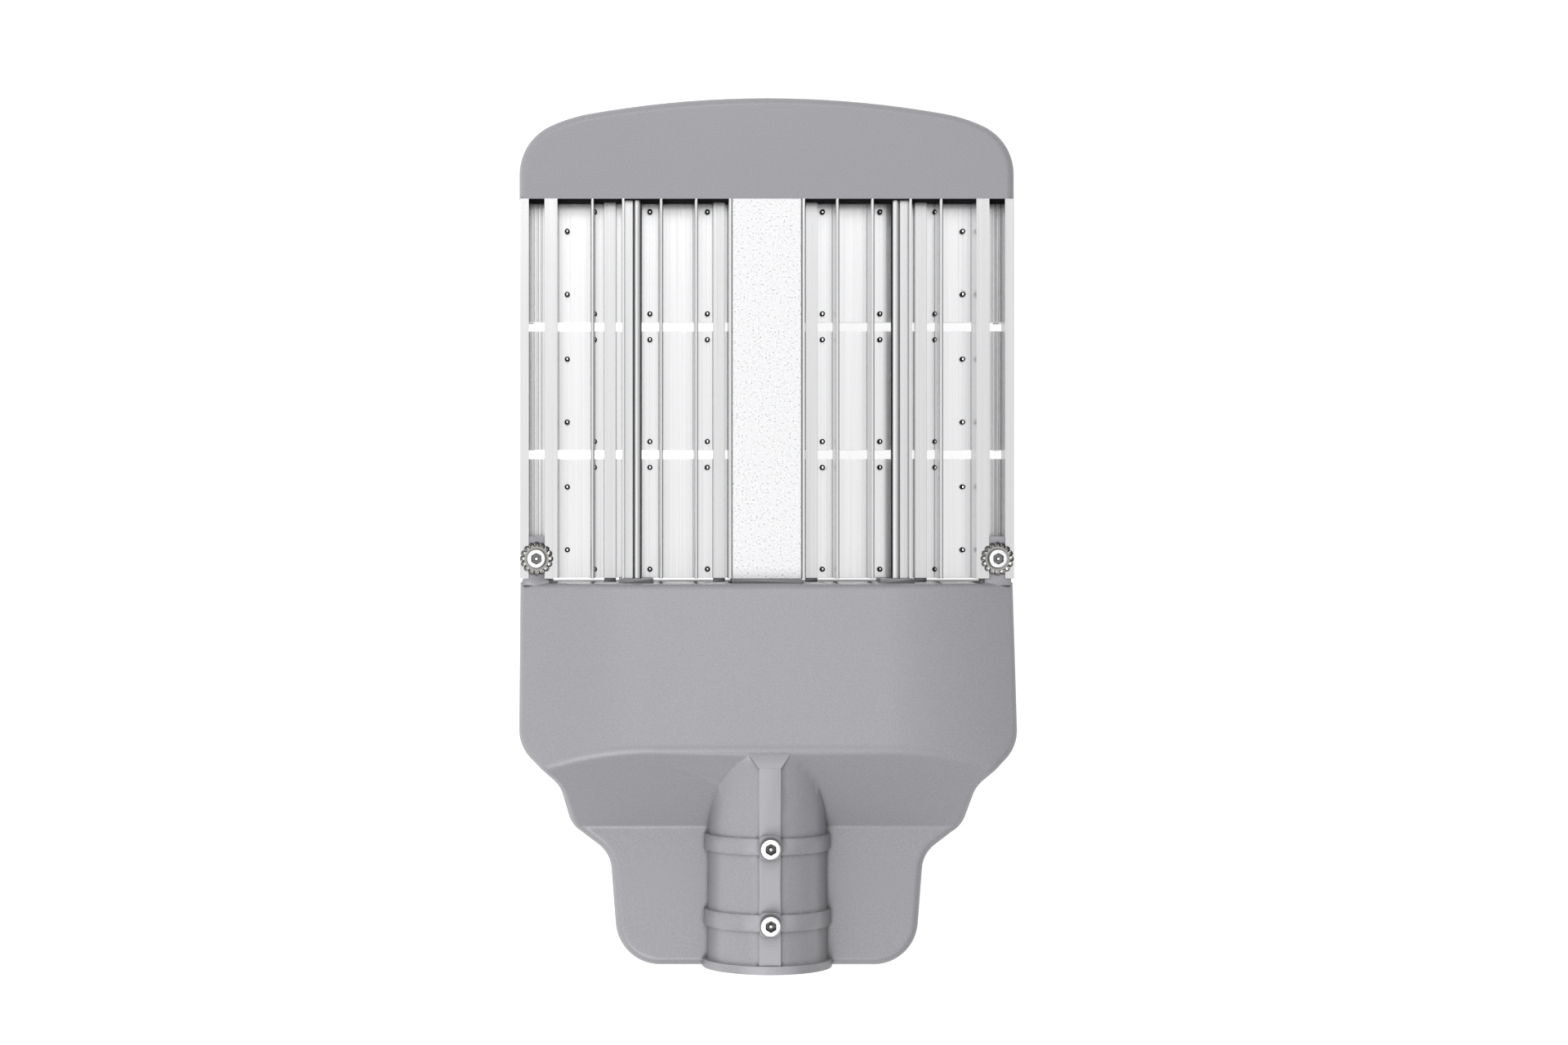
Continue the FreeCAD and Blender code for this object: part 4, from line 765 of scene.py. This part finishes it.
def make_lens_plates(optics):
    """Lens plates: a lower face with twelve domes and an upper face with a pocket and a hollow over each LED.

    Both faces are height fields on one grid whose rows end on the module's outline, and a strip joins them.
    """
    clear = clear_plastic()
    middles = lens_middles()
    columns, rows = 151, 111
    u, v = np.meshgrid(np.linspace(0, 1, columns), np.linspace(-1, 1, rows), indexing="ij")
    x = MODULE_INNER + (MODULE_OUTER - MODULE_INNER) * u
    y = v * module_outline(x)
    low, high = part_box("lens_plate_right_1")
    plate = low.z + 5.0 * MM
    lower = plate - optics.dome_height * dome_field(x, y, middles, (7.0 * MM, 5.5 * MM), 2.4)
    inset, deep, hollow, wall = 7.3 * MM, 1.8 * MM, 2.2 * MM, 0.4 * MM
    pocket = (x > MODULE_INNER + inset) & (x < MODULE_OUTER - inset)
    pocket &= np.abs(y) < module_outline(x + inset * 0.6) - inset
    over_leds = dome_field(x, y, middles, (3.6 * MM, 3.2 * MM), 2.0)
    upper = np.maximum(high.z - np.where(pocket, deep + hollow * over_leds, 0.0), plate + wall)
    faces = grid_faces(columns, rows)
    size = columns * rows
    index = np.arange(size).reshape(columns, rows)
    rim = np.concatenate([index[:, 0], index[-1, 1:], index[-2::-1, -1], index[0, -2:0:-1]])
    after = np.roll(rim, -1)
    strip = np.stack([rim, after, after + size, rim + size], axis=1)
    quads = np.concatenate([faces[:, ::-1], faces + size, strip])
    centres = section_centres()[0]
    for side, sign in (("right", 1.0), ("left", -1.0)):
        for number, centre in enumerate(centres, start=1):
            points = np.concatenate([np.stack([sign * x, y + centre, lower], axis=-1).reshape(-1, 3),
                                     np.stack([sign * x, y + centre, upper], axis=-1).reshape(-1, 3)])
            piece = add_piece(f"lens_panel_{side}_{number}", points, quads if sign > 0 else quads[:, ::-1])
            piece.data.set_sharp_from_angle(angle=math.radians(30))
            dress(piece, clear)
            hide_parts(f"lens_plate_{side}_{number}")


def make_leds(optics):
    """LED chips: a rounded square block with a low dome, at the middle of every lens.

    Row k at angle a has radius r_k * (1 + share_k * (square(a) - 1)), with the square's radius
    1 / max(|cos a|, |sin a|).
    """
    ceramic = speckled("led_body", (0.82, 0.81, 0.76), 0.5)
    glow = Finish("led_phosphor", tuple(optics.phosphor), 0.35).done()
    board_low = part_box("led_board_right_1")[0].z
    sides, dome_rows = 16, 3
    profile = np.array([(0.0, -1.15), (0.5, -1.08), (0.95, -0.85), (1.15, -0.62), (1.2, -0.6), (1.62, -0.6),
                        (1.7, -0.52), (1.7, 0.0)]) * MM
    angle = 2 * np.pi * np.arange(sides) / sides
    square = 1 / np.maximum(np.abs(np.cos(angle)), np.abs(np.sin(angle)))
    share = np.array([0, 0, 0, 0, 0, 0.8, 0.9, 0.9])[:, None]
    radius = profile[:, :1] * (1 + share * (square[None] - 1))
    points = np.stack([radius * np.cos(angle), radius * np.sin(angle),
                       np.broadcast_to(profile[:, 1:] + board_low, radius.shape)], axis=-1)
    faces = grid_faces(len(profile), sides, wrap_columns=True)
    places = np.array([(sign * x, centre + y, 0.0) for sign in (1, -1) for centre in section_centres()[0]
                       for x, y in lens_middles()])
    piece = add_piece("led_chips", *repeated(points, faces, places))
    row = np.tile(np.arange(len(faces)) // sides, len(places))
    dress_two(piece, ceramic, glow, row < dome_rows)


def make_cover_screws(finish):
    """Button head screws of the cover: a hexagon socket, a domed head and a plain shank.

    Each is a turned profile whose socket rows are hexagons. The screws stand at insets from the housing's
    side, and at places along Y.
    """
    low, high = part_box("cover_screws")
    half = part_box("rear_housing")[1].x
    head = np.array([(0.0, 1.4), (1.25, 1.4), (1.25, 0.12), (1.45, 0.0), (2.2, 0.1), (2.9, 0.4), (3.5, 0.9),
                     (3.85, 1.4), (4.0, 1.9), (4.0, 2.2), (2.0, 2.2)]) * MM + (0.0, low.z)
    shank = [(2.0 * MM, high.z - 0.5 * MM), (1.5 * MM, high.z), (0.0, high.z)]
    profile, sides = np.concatenate([head, shank]), 36
    shape = np.zeros(len(profile))
    shape[1:4] = (1, 1, 0.5)
    points, faces = turned(profile, sides, shape), grid_faces(len(profile), sides, wrap_columns=True)
    insets = ((9.7 * MM, 221.0 * MM), (9.7 * MM, 152.0 * MM), (71.7 * MM, 14.0 * MM))
    places = np.array([(s * (half - inset), y, 0.0) for s in (-1, 1) for inset, y in insets])
    piece = closed_poles(add_piece("cover_screw_set", *repeated(points, faces, places)))
    piece.data.set_sharp_from_angle(angle=SHARP)
    # Painted shade in the socket and hollows
    dress(piece, stainless(finish, "cover_steel", 0.9, 0.3, hollow=2.0 * MM))
    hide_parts("cover_screws")


def make_hidden_parts(finish):
    """Finishes of boards, seals, gear, the driver's cover and the plain screws."""
    looks = {
        "steel": stainless(finish, "plain_screw", 0.9, 0.32),
        "board": speckled("board_white", (0.86, 0.87, 0.85), 0.4),
        "rubber": speckled("seal_rubber", (0.03, 0.03, 0.032), 0.75, grain=1600.0, depth=0.04 * MM),
        "tray": speckled("tray_steel", (0.62, 0.63, 0.64), 0.36, 0.9, grain=240.0),
        "case": speckled("driver_case", (0.70, 0.71, 0.72), 0.38, 0.8, grain=500.0),
        "plastic": speckled("gear_plastic", (0.10, 0.10, 0.11), 0.5),
        "paint": cast_paint(finish),
    }
    given = {"end_screws_front": "steel", "end_screws_rear": "steel", "tray_screws": "steel",
             "gear_tray": "tray", "driver": "case", "terminal_block": "plastic",
             "surge_protector": "plastic", "wireway_gland": "plastic", "arm_grommet": "rubber",
             "cover_gasket": "rubber", "driver_cover": "paint"}
    for side in SIDES:
        for number in (1, 2, 3):
            given[f"led_board_{side}_{number}"] = "board"
            given[f"lens_gasket_{side}_{number}"] = "rubber"
    for name, look in given.items():
        dress(NODES[name], looks[look])


def make_stage(stage):
    """Floor, soft light from all round, two large soft lights and the camera above.

    The floor glows a little more to the left. The surrounding light's strength is a level plus the dot
    product of the direction and the lean, and never below a low level.
    """
    scene = bpy.context.scene
    level = CAD_BOX[0].z - 0.2 * MM
    half, lowest = 12.0, 0.06
    corners = [(-half, -half, level), (half, -half, level), (half, half, level), (-half, half, level)]
    mesh = bpy.data.meshes.new("floor")
    mesh.from_pydata(corners, [], [(0, 1, 2, 3)])
    floor = bpy.data.objects.new("floor", mesh)
    scene.collection.objects.link(floor)
    pale = Finish("pale_floor", (0.22, 0.22, 0.22), 0.9, specular=0.1)
    glow = pale.ramp(pale.along("X", -0.12, 0.0), [(0.0, 1.0), (1.0, 0.70)])
    pale.link(glow, pale.shader.inputs["Emission Color"])
    pale.set("Emission Strength", 1.3)
    dress(floor, pale.done())
    world = bpy.data.worlds.new("soft_surround")
    scene.world = world
    world.use_nodes = True
    tree = world.node_tree
    back = tree.nodes["Background"]
    back.inputs["Color"].default_value = (1.0, 1.0, 1.0, 1.0)
    direction = tree.nodes.new("ShaderNodeTexCoord")
    lean = tree.nodes.new("ShaderNodeVectorMath")
    lean.operation = "DOT_PRODUCT"
    lean.inputs[1].default_value = tuple(stage.sky_lean)
    tree.links.new(direction.outputs["Generated"], lean.inputs[0])
    strength = lean.outputs["Value"]
    for operation, value in (("ADD", stage.sky_light), ("MAXIMUM", lowest)):
        step = tree.nodes.new("ShaderNodeMath")
        step.operation = operation
        step.inputs[1].default_value = value
        tree.links.new(strength, step.inputs[0])
        strength = step.outputs["Value"]
    tree.links.new(strength, back.inputs["Strength"])
    middle = Vector((0.0, 0.26, 0.0))
    for name, place, size, power in (("key", (-0.1, 1.50, 2.3), 0.9, stage.key_light),
                                     ("fill", (-0.35, -0.80, 1.6), 0.7, stage.fill_light)):
        light = bpy.data.lights.new(name, "AREA")
        light.shape, light.size, light.energy = "SQUARE", size, power
        lamp = bpy.data.objects.new(name, light)
        lamp.location = place
        lamp.visible_camera = False
        lamp.rotation_euler = (middle - Vector(place)).to_track_quat("-Z", "Y").to_euler()
        scene.collection.objects.link(lamp)
    lens = bpy.data.cameras.new("camera")
    lens.sensor_width, lens.lens = 36.0, stage.focal_length
    lens.shift_x = 0.1
    lens.clip_start, lens.clip_end = 0.05, 50.0
    camera = bpy.data.objects.new("camera", lens)
    camera.location = (-0.085, 0.2692, stage.camera_height)
    scene.collection.objects.link(camera)
    scene.camera = camera
    scene.view_settings.view_transform = "Standard"
    scene.view_settings.look = "None"
    scene.view_settings.exposure = 0.0


# Operators and panel


class LAMP_OT_castings(bpy.types.Operator):
    """Dress the rear housing and the front cap"""

    bl_idname = "lamp.castings"
    bl_label = "Castings"

    def execute(self, context):
        make_castings(context.scene.lamp_finish)
        return {"FINISHED"}


class LAMP_OT_extrusions(bpy.types.Operator):
    """Dress the heatsinks, the wireway and its strip"""

    bl_idname = "lamp.extrusions"
    bl_label = "Extrusions"

    def execute(self, context):
        make_extrusions(context.scene.lamp_finish)
        return {"FINISHED"}


class LAMP_OT_module_screws(bpy.types.Operator):
    """Make the module screws"""

    bl_idname = "lamp.module_screws"
    bl_label = "Module screws"

    def execute(self, context):
        make_module_screws(context.scene.lamp_finish, context.scene.lamp_fasteners)
        return {"FINISHED"}


class LAMP_OT_tooth_washers(bpy.types.Operator):
    """Make the lock washers"""

    bl_idname = "lamp.tooth_washers"
    bl_label = "Lock washers"

    def execute(self, context):
        make_tooth_washers(context.scene.lamp_finish, context.scene.lamp_fasteners)
        return {"FINISHED"}


class LAMP_OT_socket_screws(bpy.types.Operator):
    """Make the arm bolts and the side bolts"""

    bl_idname = "lamp.socket_screws"
    bl_label = "Socket head screws"

    def execute(self, context):
        make_socket_screws(context.scene.lamp_finish, context.scene.lamp_fasteners)
        return {"FINISHED"}


class LAMP_OT_lens_plates(bpy.types.Operator):
    """Make the six lens plates"""

    bl_idname = "lamp.lens_plates"
    bl_label = "Lens plates"

    def execute(self, context):
        make_lens_plates(context.scene.lamp_optics)
        return {"FINISHED"}


class LAMP_OT_leds(bpy.types.Operator):
    """Make the LED chips on the boards"""

    bl_idname = "lamp.leds"
    bl_label = "LED chips"

    def execute(self, context):
        make_leds(context.scene.lamp_optics)
        return {"FINISHED"}


class LAMP_OT_hidden_parts(bpy.types.Operator):
    """Dress boards, seals, gear and plain screws"""

    bl_idname = "lamp.hidden_parts"
    bl_label = "Boards, seals and gear"

    def execute(self, context):
        make_hidden_parts(context.scene.lamp_finish)
        return {"FINISHED"}


class LAMP_OT_cover_screws(bpy.types.Operator):
    """Make the screws of the driver cover"""

    bl_idname = "lamp.cover_screws"
    bl_label = "Cover screws"

    def execute(self, context):
        make_cover_screws(context.scene.lamp_finish)
        return {"FINISHED"}


class LAMP_OT_stage(bpy.types.Operator):
    """Set up floor, light and camera"""

    bl_idname = "lamp.stage"
    bl_label = "Stage"

    def execute(self, context):
        make_stage(context.scene.lamp_stage)
        return {"FINISHED"}


OPERATORS = (LAMP_OT_castings, LAMP_OT_extrusions, LAMP_OT_module_screws, LAMP_OT_tooth_washers,
             LAMP_OT_socket_screws, LAMP_OT_lens_plates, LAMP_OT_leds, LAMP_OT_hidden_parts,
             LAMP_OT_cover_screws, LAMP_OT_stage)
GROUPS = {"lamp_finish": LampFinish, "lamp_fasteners": LampFasteners, "lamp_optics": LampOptics,
          "lamp_stage": LampStage}


class LAMP_PT_panel(bpy.types.Panel):
    """Sizes, colours and steps of the street light head"""

    bl_label = "Street light head"
    bl_idname = "LAMP_PT_panel"
    bl_space_type = "VIEW_3D"
    bl_region_type = "UI"
    bl_category = "Lamp"

    def draw(self, context):
        for name in GROUPS:
            group = getattr(context.scene, name)
            box = self.layout.box()
            for key in group.bl_rna.properties.keys():
                if key not in ("rna_type", "name"):
                    box.prop(group, key)
        for operator in OPERATORS:
            self.layout.operator(operator.bl_idname)


def register():
    for item in (*GROUPS.values(), *OPERATORS, LAMP_PT_panel):
        bpy.utils.register_class(item)
    for name, group in GROUPS.items():
        setattr(bpy.types.Scene, name, bpy.props.PointerProperty(type=group))


def unregister():
    for name in GROUPS:
        delattr(bpy.types.Scene, name)
    for item in reversed((*GROUPS.values(), *OPERATORS, LAMP_PT_panel)):
        bpy.utils.unregister_class(item)


def main():
    """Runs every step in order."""
    register()
    for operator in OPERATORS:
        family, step = operator.bl_idname.split(".")
        getattr(getattr(bpy.ops, family), step)()


if __name__ == "__main__":
    main()
